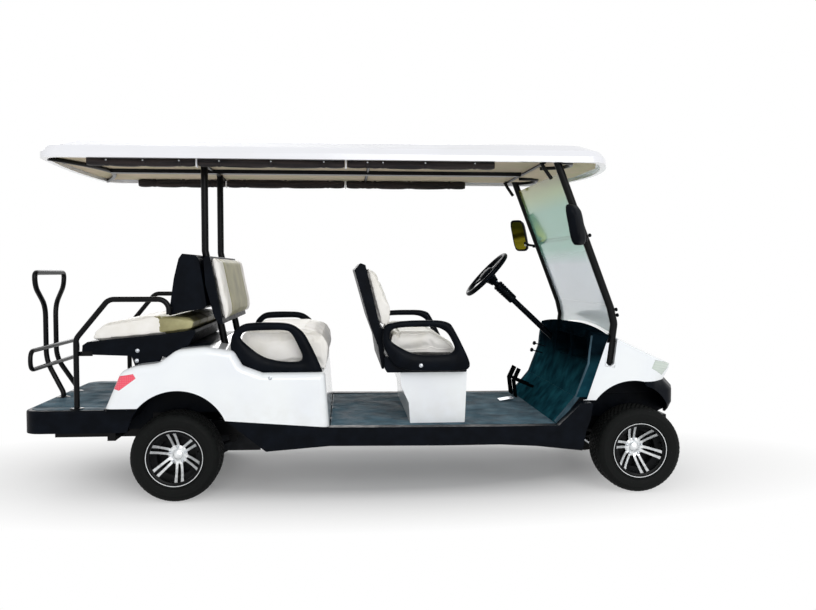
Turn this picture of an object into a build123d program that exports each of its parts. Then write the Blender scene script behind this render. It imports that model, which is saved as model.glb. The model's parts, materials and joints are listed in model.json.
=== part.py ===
from build123d import *
import os
from math import cos, radians, sin

# Six-seat golf cart: two forward benches and a rear-facing bench over a footplate.
# Millimetres. +X forward, +Y to the vehicle's left, +Z up. The origin is on the ground at the
# middle of the overall length and width. Lengthwise places are given from the rear or the
# front axle, and so the two ends move apart when the wheelbase grows.

# Overall
WHEELBASE = 2424
REAR_OVERHANG = 838
FRONT_OVERHANG = 330
BODY_WIDTH = 1240
FLOOR_ABOVE_AXLE = 145.5
ROOF_RECESS = 22

# Running gear
TYRE_RADIUS = 229.5
TYRE_WIDTH = 205
TRACK = 1000
RIM_SEAT_RADIUS = 127
RIM_LIP_RADIUS = 144
RIM_WIDTH = 200
SPOKE_PAIRS = 6
STUB_RADIUS = 15
KINGPIN_Y = 350
KINGPIN_RADIUS = 11
STEER_ARM_LENGTH = 115
SPRING_Y = 235
SPRING_HALF_SPAN = 250
SPRING_WIDTH = 44

# Frame
RAIL_WIDTH = 50
RAIL_HEIGHT = 80
RAIL_WALL = 4
FLOOR_THICKNESS = 15

# Body
BODY_WALL = 5
SEAT_HALF_WIDTH = 500
ARMREST_Y = 560
ARMREST_WIDTH = 44
ARMREST_INNER_Y = ARMREST_Y - ARMREST_WIDTH / 2
PILLAR_Y = 530
PILLAR_DIAMETER = 40
REAR_LEG_Y = 280
REAR_LEG_DIAMETER = 38
RAIL_TUBE_DIAMETER = 28
MIRROR_Y = 650
STEERING_Y = 280
STEERING_RADIUS = 178

# Clearances
RUNNING_GAP = 0.3
SLOT_GAP = 0.5

AXLE_Z = TYRE_RADIUS
FLOOR_Z = AXLE_Z + FLOOR_ABOVE_AXLE
BODY_LIFT = FLOOR_Z - 375  # outlines are drawn for a floor at 375 and rise with it
ROOF_EDGE_Z = 1742 + BODY_LIFT
ROOF_TOP_Z = 1878 + BODY_LIFT
LENGTH = REAR_OVERHANG + WHEELBASE + FRONT_OVERHANG
REAR_AXLE_X = -LENGTH / 2 + REAR_OVERHANG
FRONT_AXLE_X = REAR_AXLE_X + WHEELBASE
HALF_WIDTH = BODY_WIDTH / 2
WHEEL_Y = TRACK / 2
RAIL_TOP_Z = FLOOR_Z - FLOOR_THICKNESS
RAIL_BOTTOM_Z = RAIL_TOP_Z - RAIL_HEIGHT


def rear(points):
    """Outline points (x, z) counted from the rear axle, moved to their place."""
    return [(REAR_AXLE_X + x, z + BODY_LIFT) for x, z in points]


def front(points):
    """Outline points (x, z) counted from the front axle, moved to their place."""
    return [(FRONT_AXLE_X + x, z + BODY_LIFT) for x, z in points]


def run(axle, points):
    """Centre line points (x, y, z) counted from an axle, moved to their place."""
    return [(axle + x, y, z + BODY_LIFT) for x, y, z in points]


def slab(points, y_low, y_high, corner=0):
    """Side outline in X and Z, as thick as y_low to y_high, its corners rounded by one radius or one each."""
    line = FilletPolyline(*points, radius=corner, close=True) if corner else Polyline(*points, close=True)
    return extrude(Plane.XZ.offset(-y_high) * make_face(line), amount=y_high - y_low)


def block(x_low, x_high, y_low, y_high, z_low, z_high):
    """Box between two corners."""
    size = (x_high - x_low, y_high - y_low, z_high - z_low)
    return Pos(x_low, y_low, z_low) * Box(*size, align=(Align.MIN, Align.MIN, Align.MIN))


def rod(start, end, radius):
    """Round bar between two points."""
    axis = Vector(*end) - Vector(*start)
    return extrude(Plane(origin=start, z_dir=axis) * Circle(radius), amount=axis.length)


def tube(points, bend, diameter):
    """Round tube along straight runs joined by bends of one radius."""
    path = FilletPolyline(*points, radius=bend)
    return sweep(Plane(origin=path @ 0, z_dir=path % 0) * Circle(diameter / 2), path=path)


def both_sides(solid):
    """A left-hand piece and its mirror image."""
    return [solid, mirror(solid, about=Plane.XZ)]


def save(name, *pieces):
    """Write one node, made of every solid in the pieces."""
    solids = []
    for piece in pieces:
        for item in piece if isinstance(piece, list) else [piece]:
            solids += list(item.solids())
    export_step(Compound(solids), f"parts/{name}.step")


# ---------------------------------------------------------------- wheels

def tyre():
    """Low-profile carcass, open to the rim, about the Y axis and centred on it."""
    half = TYRE_WIDTH / 2
    bead = RIM_SEAT_RADIUS + RUNNING_GAP
    tread = TYRE_RADIUS
    outer = [(bead, half - 15), (RIM_LIP_RADIUS + 8, half - 6), (tread - 48, half), (tread - 20, half - 5),
             (tread - 6, half - 15), (tread, half - 34)]
    inner = [(tread - 14, half - 38), (tread - 48, half - 12), (bead + 14, half - 18), (bead, half - 34)]
    side = outer + [(r, -y) for r, y in reversed(outer)]
    cavity = [(r, -y) for r, y in reversed(inner)] + inner
    return revolve(make_face(Polyline(*side, *cavity, close=True)), axis=Axis.Y)


def rim():
    """Deep-dish wheel with pairs of spokes, about the Y axis, outside towards +Y."""
    lip = RIM_WIDTH / 2
    seat = RIM_SEAT_RADIUS
    barrel = [(RIM_LIP_RADIUS, lip), (RIM_LIP_RADIUS, lip - 5), (seat, lip - 11), (seat, lip - 40),
              (seat - 22, lip - 52), (seat - 22, -lip + 52), (seat, -lip + 40), (seat, -lip + 11),
              (RIM_LIP_RADIUS, -lip + 5), (RIM_LIP_RADIUS, -lip), (seat - 3, -lip), (seat - 6, -lip + 40),
              (seat - 28, -lip + 54), (seat - 28, lip - 54), (seat - 6, lip - 40), (seat - 3, lip)]
    bowl = [(28, -22), (62, -22), (88, 2), (110, 36), (123, 70), (123, 88), (112, 62), (94, 30), (74, 4),
            (58, -6), (28, -6)]
    hub = [(0, -50), (38, -50), (38, -43), (62, -43), (62, -22), (28, -22), (28, -2), (20, 4), (0, 4)]
    wheel = revolve(make_face(Polyline(*barrel, close=True)), axis=Axis.Y)
    dish = revolve(make_face(Polyline(*bowl, close=True)), axis=Axis.Y)
    centre = revolve(make_face(Polyline(*hub, close=True)), axis=Axis.Y)
    # Windows: columns are the radius and the half angle (degrees) of each corner pair.
    gap_shapes = [[(64, 13), (120, 21)], [(74, 2.6), (120, 5.2)]]
    for index, corners in enumerate(gap_shapes):
        (r0, a0), (r1, a1) = corners
        outline = [(r0 * cos(radians(a)), r0 * sin(radians(a))) for a in (-a0, a0)]
        outline += [(r1 * cos(radians(a)), r1 * sin(radians(a))) for a in (a1, 0, -a1)]
        window = extrude(Plane.XZ * make_face(Polyline(*outline, close=True)), amount=100, both=True)
        for step in range(SPOKE_PAIRS):
            turn = (step + index / 2) * 360 / SPOKE_PAIRS
            dish -= Rot(0, turn, 0) * window
    wheel = wheel + dish + centre
    bore = extrude(Plane.XZ.offset(51) * Circle(STUB_RADIUS + RUNNING_GAP), amount=-39)
    return wheel - bore


def save_wheels():
    """Four tyres and rims, outside faces away from the body."""
    left_tyre, left_rim = tyre(), rim()
    for axle, x in (("front", FRONT_AXLE_X), ("rear", REAR_AXLE_X)):
        for side, y in (("left", WHEEL_Y), ("right", -WHEEL_Y)):
            for name, left in (("tyre", left_tyre), ("rim", left_rim)):
                piece = left if side == "left" else mirror(left, about=Plane.XZ)
                save(f"{name}_{axle}_{side}", Pos(x, y, AXLE_Z) * piece)


# ---------------------------------------------------------------- axles and steering

BOSS_HALF_HEIGHT = 30
YOKE_THICKNESS = 16
STUB_END_Y = WHEEL_Y - 13
ARM_Z = AXLE_Z - BOSS_HALF_HEIGHT - YOKE_THICKNESS / 2 - RUNNING_GAP
TIE_ROD_PIN_RADIUS = 7


def knuckle():
    """Left steering knuckle: yoke round the axle's boss, kingpin, stub axle and steering arm."""
    x, y, z = FRONT_AXLE_X, KINGPIN_Y, AXLE_Z
    reach = BOSS_HALF_HEIGHT + YOKE_THICKNESS + RUNNING_GAP
    body = block(x - 24, x + 24, y - 24, y + 62, z - reach, z + reach)
    body -= block(x - 60, x + 60, y - 60, y + 32, z - BOSS_HALF_HEIGHT - RUNNING_GAP, z + BOSS_HALF_HEIGHT + RUNNING_GAP)
    body = fillet(body.edges().filter_by(Axis.Z).group_by(Axis.Y)[0], radius=20)
    body += rod((x, y, z - reach), (x, y, z + reach), KINGPIN_RADIUS)
    body += rod((x, y + 60, z), (x, WHEEL_Y - 55, z), STUB_RADIUS + 9)
    body += rod((x, y + 60, z), (x, STUB_END_Y, z), STUB_RADIUS)
    end = (x - STEER_ARM_LENGTH, y)
    arm = block(end[0], x, y - 14, y + 14, ARM_Z - YOKE_THICKNESS / 2, ARM_Z + YOKE_THICKNESS / 2)
    arm += rod((*end, ARM_Z - YOKE_THICKNESS / 2), (*end, ARM_Z + YOKE_THICKNESS / 2), 18)
    arm -= rod((*end, ARM_Z - 20), (*end, ARM_Z + 20), TIE_ROD_PIN_RADIUS + RUNNING_GAP)
    return body + arm


def tie_rod():
    """Bar behind the front axle that joins the two steering arms, with a ball stud at each end."""
    x = FRONT_AXLE_X - STEER_ARM_LENGTH
    z = ARM_Z - YOKE_THICKNESS / 2 - 16
    bar = rod((x, -KINGPIN_Y, z), (x, KINGPIN_Y, z), 11)
    for y in (-KINGPIN_Y, KINGPIN_Y):
        bar += rod((x, y, z - 15), (x, y, z + 15), 17)
        bar += rod((x, y, z), (x, y, ARM_Z + YOKE_THICKNESS / 2 + 8), TIE_ROD_PIN_RADIUS)
    return bar


def front_axle():
    """Square beam with a bored boss at each end and a pad on each spring."""
    x, z = FRONT_AXLE_X, AXLE_Z
    beam = block(x - 25, x + 25, -KINGPIN_Y, KINGPIN_Y, z - 25, z + 25)
    for y in (-KINGPIN_Y, KINGPIN_Y):
        beam += rod((x, y, z - BOSS_HALF_HEIGHT), (x, y, z + BOSS_HALF_HEIGHT), 26)
    for y in (-KINGPIN_Y, KINGPIN_Y):
        beam -= rod((x, y, z - 40), (x, y, z + 40), KINGPIN_RADIUS + RUNNING_GAP)
    pad = block(x - PAD_HALF_LENGTH, x + PAD_HALF_LENGTH, SPRING_Y - SPRING_WIDTH / 2, SPRING_Y + SPRING_WIDTH / 2, PAD_Z, z)
    for side in both_sides(pad):
        beam += side
    return beam


DRUM_INNER_Y = WHEEL_Y - 95
DRUM_OUTER_Y = WHEEL_Y - 53


def rear_axle():
    """Driven axle: gear case, tubes, brake drums and the stubs that carry the wheels."""
    x, z = REAR_AXLE_X, AXLE_Z
    axle = rod((x, -DRUM_OUTER_Y, z), (x, DRUM_OUTER_Y, z), 32)
    axle += rod((x, -STUB_END_Y, z), (x, STUB_END_Y, z), STUB_RADIUS)
    axle += Pos(x, 0, z) * Sphere(88)
    axle += block(x, x + 130, -60, 60, z - 60, z + 60)
    pad = block(x - PAD_HALF_LENGTH, x + PAD_HALF_LENGTH, SPRING_Y - SPRING_WIDTH / 2, SPRING_Y + SPRING_WIDTH / 2, PAD_Z, z)
    drum = rod((x, DRUM_INNER_Y, z), (x, DRUM_OUTER_Y, z), 88)
    for left in (pad, drum):
        for side in both_sides(left):
            axle += side
    return axle


def drive_motor():
    """Electric motor, one plain block bolted to the gear case."""
    x = REAR_AXLE_X + 130
    return block(x, x + 250, -85, 85, AXLE_Z - 75, AXLE_Z + 85)


SPRING_TOP_Z = AXLE_Z - 34
PAD_HALF_LENGTH = 30
PAD_Z = SPRING_TOP_Z + 0.9
EYE_RADIUS = 15
EYE_Z = RAIL_BOTTOM_Z - EYE_RADIUS - 3
LEAF_THICKNESS = 9
EYE_BOLT_RADIUS = 7


def leaf(half_span, top_z, rise):
    """One bent leaf, lying across X, its middle at x = 0."""
    low, high = top_z - LEAF_THICKNESS, top_z
    upper = ThreePointArc((-half_span, high + rise), (0, high), (half_span, high + rise))
    lower = ThreePointArc((half_span, low + rise), (0, low), (-half_span, low + rise))
    face = make_face([upper, Line(upper @ 1, lower @ 0), lower, Line(lower @ 1, upper @ 0)])
    return extrude(Plane.XZ.offset(-SPRING_Y - SPRING_WIDTH / 2) * face, amount=SPRING_WIDTH)


def leaf_spring(x):
    """Left spring pack: three leaves with a rolled eye at each end."""
    rise = EYE_Z - SPRING_TOP_Z - EYE_RADIUS + LEAF_THICKNESS
    pack = None
    # Columns: leaf number from the top, share of the main leaf's half span
    for number, share in ((0, 1.0), (1, 0.72), (2, 0.45)):
        piece = leaf(SPRING_HALF_SPAN * share, SPRING_TOP_Z - number * (LEAF_THICKNESS - 0.5), rise * share ** 2)
        pack = piece if pack is None else pack + piece
    y0, y1 = SPRING_Y - SPRING_WIDTH / 2, SPRING_Y + SPRING_WIDTH / 2
    for end in (-SPRING_HALF_SPAN, SPRING_HALF_SPAN):
        pack += rod((end, y0, EYE_Z), (end, y1, EYE_Z), EYE_RADIUS)
    for end in (-SPRING_HALF_SPAN, SPRING_HALF_SPAN):
        pack -= rod((end, y0 - 5, EYE_Z), (end, y1 + 5, EYE_Z), EYE_BOLT_RADIUS + RUNNING_GAP)
    return Pos(x, 0, 0) * pack


# ---------------------------------------------------------------- frame and floor

FRAME_REAR_X = REAR_AXLE_X - 700
FRAME_FRONT_X = FRONT_AXLE_X + SPRING_HALF_SPAN + 26
DASH_REAR_X = FRONT_AXLE_X - 600
SILL_INNER_Y = HALF_WIDTH - 60
FLOOR_HALF_WIDTH = SILL_INNER_Y
REAR_BODY_FRONT = 787
SILL_REAR_Z = 422
SILL_MID_Z = 382
BODY_FRONT_X = REAR_AXLE_X + REAR_BODY_FRONT


def chassis_frame():
    """Two box rails, cross members with outriggers, and the spring brackets."""
    y0, y1 = SPRING_Y - RAIL_WIDTH / 2, SPRING_Y + RAIL_WIDTH / 2
    frame = block(FRAME_REAR_X, FRAME_FRONT_X, y0, y1, RAIL_BOTTOM_Z, RAIL_TOP_Z)
    frame -= block(FRAME_REAR_X - 1, FRAME_FRONT_X + 1, y0 + RAIL_WALL, y1 - RAIL_WALL,
                   RAIL_BOTTOM_Z + RAIL_WALL, RAIL_TOP_Z - RAIL_WALL)
    plate = 6
    for axle in (REAR_AXLE_X, FRONT_AXLE_X):
        for end in (-SPRING_HALF_SPAN, SPRING_HALF_SPAN):
            x = axle + end
            for y in (SPRING_Y - SPRING_WIDTH / 2 - plate, SPRING_Y + SPRING_WIDTH / 2):
                ear = block(x - 22, x + 22, y, y + plate, EYE_Z, RAIL_BOTTOM_Z)
                frame += ear + rod((x, y, EYE_Z), (x, y + plate, EYE_Z), 22)
            y_out = SPRING_WIDTH / 2 + plate
            frame += rod((x, SPRING_Y - y_out, EYE_Z), (x, SPRING_Y + y_out, EYE_Z), EYE_BOLT_RADIUS)
    frame += mirror(frame, about=Plane.XZ)
    # Cross members: columns are the middle's x and half the member's length.
    members = [(FRAME_REAR_X + 20, SPRING_Y), (REAR_AXLE_X - 330, FOOTPLATE_HALF_WIDTH - 50), (REAR_AXLE_X + 430, FLOOR_HALF_WIDTH),
               (BODY_FRONT_X + 40, FLOOR_HALF_WIDTH), (ROW1_FRONT_X, FLOOR_HALF_WIDTH),
               (DASH_REAR_X - 60, FLOOR_HALF_WIDTH), (FRAME_FRONT_X - 20, SPRING_Y)]
    for x, half in members:
        frame += block(x - 20, x + 20, -half, half, RAIL_TOP_Z - 50, RAIL_TOP_Z)
    return frame


ROW1_FRONT_X = FRONT_AXLE_X - 923
TOE_BOARD_X = FRONT_AXLE_X - 449
TOE_BOARD_HALF_WIDTH = 558


def floor_panel():
    """Floor from the rear body to the dash, turned up as a toe board."""
    floor = block(BODY_FRONT_X + 1, TOE_BOARD_X - 6, -FLOOR_HALF_WIDTH, FLOOR_HALF_WIDTH, RAIL_TOP_Z, FLOOR_Z)
    outline = front([(-456, 360), (-436, 360), (-319, 512), (-338, 512), (-447, 375), (-456, 375)])
    return floor + slab(outline, -TOE_BOARD_HALF_WIDTH, TOE_BOARD_HALF_WIDTH)


def sill():
    """Left rocker under the floor's edge, its front end rising as the front arch's inner fender."""
    outline = rear([(262, SILL_REAR_Z), (REAR_BODY_FRONT, SILL_MID_Z)])
    outline += front([(-1278, 378), (-758, 374), (-446, 374), (-322, 490), (-264, 490), (-276, 405), (-300, 340),
                      (-318, 240), (-562, 268), (-757, 279), (-1071, 279)])
    outline += rear([(REAR_BODY_FRONT, 286), (463, 262)])
    return slab(outline, SILL_INNER_Y, HALF_WIDTH, 7)


def battery_pack():
    """Battery pack, one plain block inside the front bench's box."""
    return block(ROW1_FRONT_X - 250, ROW1_FRONT_X - 40, -400, 400, FLOOR_Z, FLOOR_Z + 240)


# ---------------------------------------------------------------- rear body

ARCH_RADIUS = TYRE_RADIUS + 32.5
ARCH_X = 20
ARCH_Z = 316 + BODY_LIFT
TAIL_Z = 490
BODY_EDGE_RADIUS = 38
# Side outline of the moulded rear body, counted from the rear axle: x, z and the corner's radius.
BODY_OUTLINE = [(-338, 340, 0), (-338, TAIL_Z - 3, 6), (-258, 676, 60), (-180, 704, 100), (-70, 717, 90), (20, 784, 100),
                (160, 797, 200), (300, 776, 40), (345, 700, 30), (446, 662, 10), (REAR_BODY_FRONT - 24, 662, 20), (REAR_BODY_FRONT, 340, 0)]


def body_volume(grow=0, edge=BODY_EDGE_RADIUS):
    """The rear body's outer form as a solid, grown outwards, its long edges rounded."""
    line = FilletPolyline(*rear([(x, z) for x, z, _ in BODY_OUTLINE]), radius=[r for _, _, r in BODY_OUTLINE], close=True)
    half = HALF_WIDTH + grow
    face = make_face(line)
    volume = extrude(Plane.XZ.offset(-half) * (offset(face, amount=grow) if grow else face), amount=2 * half)
    if edge:
        edges = volume.faces().filter_by(Axis.Y).edges().filter_by(lambda e: e.center().Z > 510 + BODY_LIFT)
        volume = fillet(edges, radius=edge + min(grow, 0))
    return volume


def on_body(solid):
    """A piece cut so that it rests on the rear body's top with a hair's gap."""
    return solid - Pos(0, 0, 0.4) * body_volume(0, 0)


def rear_body():
    """Moulded shell that carries the second and rear benches, open below and arched over the wheels."""
    shell = body_volume() - body_volume(-BODY_WALL)
    below = rear([(-400, TAIL_Z), (-100, TAIL_Z), (-100, SILL_REAR_Z), (262, SILL_REAR_Z), (REAR_BODY_FRONT, SILL_MID_Z),
                  (REAR_BODY_FRONT + 1, SILL_MID_Z), (REAR_BODY_FRONT + 1, 300), (-400, 300)])
    shell -= slab(below, -HALF_WIDTH - 1, HALF_WIDTH + 1)
    x = REAR_AXLE_X + ARCH_X
    shell -= rod((x, -HALF_WIDTH - 1, ARCH_Z), (x, HALF_WIDTH + 1, ARCH_Z), ARCH_RADIUS)
    for side in both_sides(tail_light_prism(0.5)):
        shell -= side
    return shell


LINER_WALL = 4
LINER_INNER_Y = 380


def wheel_liner():
    """Left rear inner fender: a black half drum inside the arch."""
    x = REAR_AXLE_X + ARCH_X
    outer = ARCH_RADIUS - 0.5
    y0, y1 = LINER_INNER_Y, HALF_WIDTH - 1
    liner = rod((x, y0, ARCH_Z), (x, y1, ARCH_Z), outer)
    liner -= rod((x, y0 + LINER_WALL, ARCH_Z), (x, y1 + 1, ARCH_Z), outer - LINER_WALL)
    return liner - block(x - 400, x + 400, y0 - 1, y1 + 1, 0, 430 + BODY_LIFT)


def front_wheel_liner():
    """Left front inner fender under the nose, clear above the steered wheel."""
    x = FRONT_AXLE_X + FRONT_ARCH_X
    outer = FRONT_ARCH_RADIUS - 0.5
    y0, y1 = 330, COWL_HALF_WIDTH
    liner = rod((x, y0, FRONT_ARCH_Z), (x, y1, FRONT_ARCH_Z), outer)
    liner -= rod((x, y0 + LINER_WALL, FRONT_ARCH_Z), (x, y1 + 1, FRONT_ARCH_Z), outer - LINER_WALL)
    return liner & cowl_volume(1.2) & block(x - 400, x + 400, y0 - 1, y1 + 1, COWL_TAIL_Z + 4 + BODY_LIFT, 900 + BODY_LIFT)


def tail_light_prism(room=0):
    """The left tail lamp's outline, seen from the side, through the body's side wall."""
    outline = rear([(-300, 592), (-274, 652), (-192, 665), (-180, 643), (-222, 612), (-262, 583)])
    face = make_face(Polyline(*outline, close=True))
    if room:
        face = offset(face, amount=room, kind=Kind.INTERSECTION)
    return extrude(Plane.XZ.offset(-HALF_WIDTH - 10) * face, amount=40)


def tail_light():
    """Left lamp that wraps the rear corner of the body, flush with it."""
    return tail_light_prism() & body_volume()


FOOTPLATE_TOP_Z = 475 + BODY_LIFT
FOOTPLATE_HALF_WIDTH = 570
FOOTPLATE_REAR = -758
FOOTPLATE_WALL = 6


def rear_footplate():
    """Rear step: deck with a deep skirt, rounded rear corners, and cheeks that run on under the body to the wheels."""
    x0, x1 = REAR_AXLE_X + FOOTPLATE_REAR, REAR_AXLE_X - 338 - RUNNING_GAP
    half, wall = FOOTPLATE_HALF_WIDTH, FOOTPLATE_WALL
    plate = block(x0, x1, -half, half, RAIL_TOP_Z, FOOTPLATE_TOP_Z)
    plate = fillet(plate.edges().filter_by(Axis.Z).group_by(Axis.X)[0], radius=90)
    plate = fillet(plate.faces().sort_by(Axis.Z)[-1].edges(), radius=12)
    inner = block(x0 + wall, x1 - wall, -half + wall, half - wall, RAIL_TOP_Z - 1, FOOTPLATE_TOP_Z - wall)
    inner = fillet(inner.edges().filter_by(Axis.Z).group_by(Axis.X)[0], radius=84)
    plate -= inner
    top = TAIL_Z + BODY_LIFT - RUNNING_GAP
    cheek = block(x1 - wall, REAR_AXLE_X - 170, half - 60, half, RAIL_TOP_Z, FOOTPLATE_TOP_Z - 14)
    cheek += block(x1 + 0.1, REAR_AXLE_X - 170, half - 60, half + 46, top - wall, top)
    cheek += block(x1 + 0.1, REAR_AXLE_X - 170, half - 60, half, FOOTPLATE_TOP_Z - 30, top)
    cheek -= block(x1 + 0.1, REAR_AXLE_X - 100, half - 61, half - wall, RAIL_TOP_Z - 1, top - wall)
    x = REAR_AXLE_X + ARCH_X
    cheek -= rod((x, 0, ARCH_Z), (x, 800, ARCH_Z), ARCH_RADIUS)
    for side in both_sides(cheek):
        plate += side
    return plate


# ---------------------------------------------------------------- seats

CUSHION_HALF_WIDTH = 490


def row1_base():
    """White box under the front bench, open at the top, its rear wall stepped."""
    outline = front([(-1270, 650), (-1262, 568), (-1223, 484), (-1216, 375), (-925, 375), (-913, 650)])
    inner = front([(-1265, 651), (-1257, 569), (-1218, 485), (-1211, 374), (-930, 374), (-918, 651)])
    return slab(outline, -SEAT_HALF_WIDTH, SEAT_HALF_WIDTH) - slab(inner, -SEAT_HALF_WIDTH + BODY_WALL, SEAT_HALF_WIDTH - BODY_WALL)


# Outlines (x, z) from the axle that each bench belongs to.
ROW1_PAN = [(-1352.7, 671), (-1352.7, 735), (-932, 735), (-912, 700), (-922, 650), (-1340, 650)]
ROW1_CUSHION = [(-1322, 735.3), (-1322, 845), (-1270, 859), (-1111, 858), (-978, 789), (-945, 735.3)]
ROW1_BACK = [(-1372, 885), (-1340, 881), (-1321, 908), (-1322, 975), (-1362, 1085), (-1397, 1165), (-1438, 1210), (-1448, 1210)]
ROW1_SHELL = [(-1353, 664), (-1353, 875), (-1373, 885), (-1450, 1212), (-1476, 1222), (-1508, 1186), (-1430, 905), (-1384, 780), (-1366, 664)]
ROW2_CUSHION = [(305, 690), (313, 790), (318, 850), (340, 875), (632, 873), (761, 846), (787, 793), (776, 650), (400, 650)]
ROW2_BACK = [(237, 915), (256, 920), (264, 950), (259, 1004), (212, 1240), (190, 1270), (171, 1255)]
ROW2_SHELL = [(212, 905), (236, 905), (170, 1258), (146, 1256), (138, 1235), (147, 1108), (189, 947)]
REAR_CUSHION = [(-446, 818), (-430, 868), (-384, 903), (-133, 946), (-48, 944), (60, 932), (98, 922), (89, 876.6), (-84, 851.6)]
REAR_PAN = [(-480, 753), (-476, 800), (-451, 817), (-84, 851), (90, 876), (94, 862), (60, 800), (20, 775), (-36, 730), (-90, 742), (-234, 743)]
# Plates from the rear pan down to the body.
PAN_BRACKETS = [[(-234, 750), (-70, 750), (-96, 700), (-210, 680)]]
PAN_BRACKET_Y = (476, 490)
REAR_BACK = [(-44, 966), (-33, 1043), (-18, 1144), (6, 1243), (54, 1243), (31, 1144), (16, 1043), (4, 966)]
REAR_SHELL = [(-40, 950), (-28, 1043), (-13, 1144), (12, 1245), (30, 1270), (95, 1264), (114, 1243), (136, 1108), (152, 999), (140, 986), (59, 974)]

# The rear back's shell is a tray: this is cut out of it for the cushion.
REAR_TRAY = [(-60, 964), (6, 964), (18, 1043), (33, 1144), (56, 1245), (-20, 1245), (-60, 1100)]
TRAY_WALL = 13


def armrest(outline, hole, corners, hole_corners):
    """Left hip restraint: a moulded loop of round section with an opening for the hand."""
    y0, y1 = ARMREST_Y - ARMREST_WIDTH / 2, ARMREST_Y + ARMREST_WIDTH / 2
    loop = slab(outline, y0, y1, corners) - slab(hole, y0 - 1, y1 + 1, hole_corners)
    return fillet(loop.faces().filter_by(Axis.Y).edges(), radius=ARMREST_EDGE_RADIUS)


ARMREST_EDGE_RADIUS = 14
ROW1_ARM = [(-1366, 792), (-1362, 905), (-1250, 925), (-1020, 925), (-975, 850), (-900, 695), (-928, 655), (-1290, 660)]
ROW1_ARM_ROUND = [40, 50, 60, 50, 60, 25, 15, 50]
ROW1_ARM_HOLE = [(-1330, 815), (-1322, 880), (-1240, 890), (-1040, 890), (-967, 748), (-1196, 742)]
ROW1_ARM_HOLE_ROUND = [25, 40, 40, 45, 25, 60]
ROW2_ARM = [(279, 790), (290, 862), (345, 912), (430, 919), (585, 916), (655, 868), (712, 755), (757, 645), (400, 645), (300, 720)]
ROW2_ARM_ROUND = [20, 50, 50, 60, 60, 60, 80, 10, 10, 20]
ROW2_ARM_HOLE = [(325, 835), (350, 872), (440, 877), (570, 878), (600, 850), (662, 716), (545, 714), (440, 740)]
ROW2_ARM_HOLE_ROUND = [15, 20, 60, 25, 40, 12, 60, 60]


def rear_seat_pan():
    """Pan under the rear cushion, with a plate at each side that stands on the body."""
    pan = slab(rear(REAR_PAN), -CUSHION_HALF_WIDTH, CUSHION_HALF_WIDTH)
    for outline in PAN_BRACKETS:
        for side in both_sides(slab(rear(outline), *PAN_BRACKET_Y)):
            pan += side
    return on_body(pan)


def leg_path():
    """Rear roof leg on the left, from the body to the roof."""
    y = REAR_LEG_Y
    return run(REAR_AXLE_X, [(217, y, 775), (113, y, 1290), (113, y, 1742 + ROOF_RECESS)])


def rear_roof_leg():
    """Left tube from the body, between the seat backs, to the roof."""
    start, knee, top = leg_path()
    lower = rod(start, knee, REAR_LEG_DIAMETER / 2)
    return on_body(lower + rod(knee, top, REAR_LEG_DIAMETER / 2) + Pos(*knee) * Sphere(REAR_LEG_DIAMETER / 2))


def leg_slots():
    """Room for the two roof legs in the seat backs' shells."""
    start, knee, top = leg_path()
    radius = REAR_LEG_DIAMETER / 2 + SLOT_GAP
    slot = rod(start, knee, radius) + rod(knee, top, radius) + Pos(*knee) * Sphere(radius)
    return both_sides(slot)


def seat_back_shells():
    """Moulded shells behind the three benches' back cushions; the rear one is a tray round its cushion."""
    half = CUSHION_HALF_WIDTH
    row2 = slab(rear(ROW2_SHELL), -half, half, 5)
    tray = slab(rear(REAR_SHELL), -half, half, 4) - slab(rear(REAR_TRAY), -half + TRAY_WALL, half - TRAY_WALL)
    for slot in leg_slots():
        row2 -= slot
        tray -= slot
    return [slab(front(ROW1_SHELL), -half, half, 4), row2, tray]


# ---------------------------------------------------------------- rear rails

def side_rail():
    """Left rail: post from the footplate, slope, level run and turn down to the rear back's shell."""
    y = SEAT_HALF_WIDTH + RAIL_TUBE_DIAMETER / 2 + 1
    gap = CUSHION_HALF_WIDTH + RUNNING_GAP
    path = run(REAR_AXLE_X, [(-500, y, 475), (-500, y, 835), (-335, y, 1036), (-34, y, 1036), (-34, y, 958)])
    rail = tube(path, 55, RAIL_TUBE_DIAMETER)
    # A pin to the shell, then a lug from the post with a strap along the seat pan.
    rail += rod(*run(REAR_AXLE_X, [(-25, gap, 988), (-25, y, 988)]), 8)
    x, z = REAR_AXLE_X - 500, 757 + BODY_LIFT
    rail += block(x - 9, x + 9, gap, y, z - 12, z + 12)
    rail += block(x - 9, x + 75, gap, gap + 6, z - 12, z + 12)
    return rail


BAG_LOOP_DIAMETER = 24
WELD_DEPTH = 1.5
LOOP_OFFSET = (RAIL_TUBE_DIAMETER + BAG_LOOP_DIAMETER) / 2 - WELD_DEPTH
GRAB_X = -REAR_OVERHANG + BAG_LOOP_DIAMETER / 2 + LOOP_OFFSET
GRAB_FOOT_X = -700


def grab_bar():
    """Keyhole grab bar with a square loop welded across its neck."""
    half, neck, top, low = 235, 80, 1172, 1004
    left = [(GRAB_FOOT_X, 115, 475), (GRAB_FOOT_X, 115, 505), (GRAB_X, neck, 680), (GRAB_X, neck, 940), (GRAB_X, half - 20, low),
            (GRAB_X, half, top)]
    wide = [(x, -y, z) for x, y, z in left] + left[::-1]
    bar = tube(run(REAR_AXLE_X, wide), 45, RAIL_TUBE_DIAMETER)
    x = GRAB_X - LOOP_OFFSET
    loop_half, low_z, high_z = 380, 640, 740
    corners = [(x, 0, low_z), (x, -loop_half, low_z), (x, -loop_half, high_z), (x, 0, high_z)]
    left = tube(run(REAR_AXLE_X, corners), 40, BAG_LOOP_DIAMETER)
    return bar + left + mirror(left, about=Plane.XZ)


# ---------------------------------------------------------------- front

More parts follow.
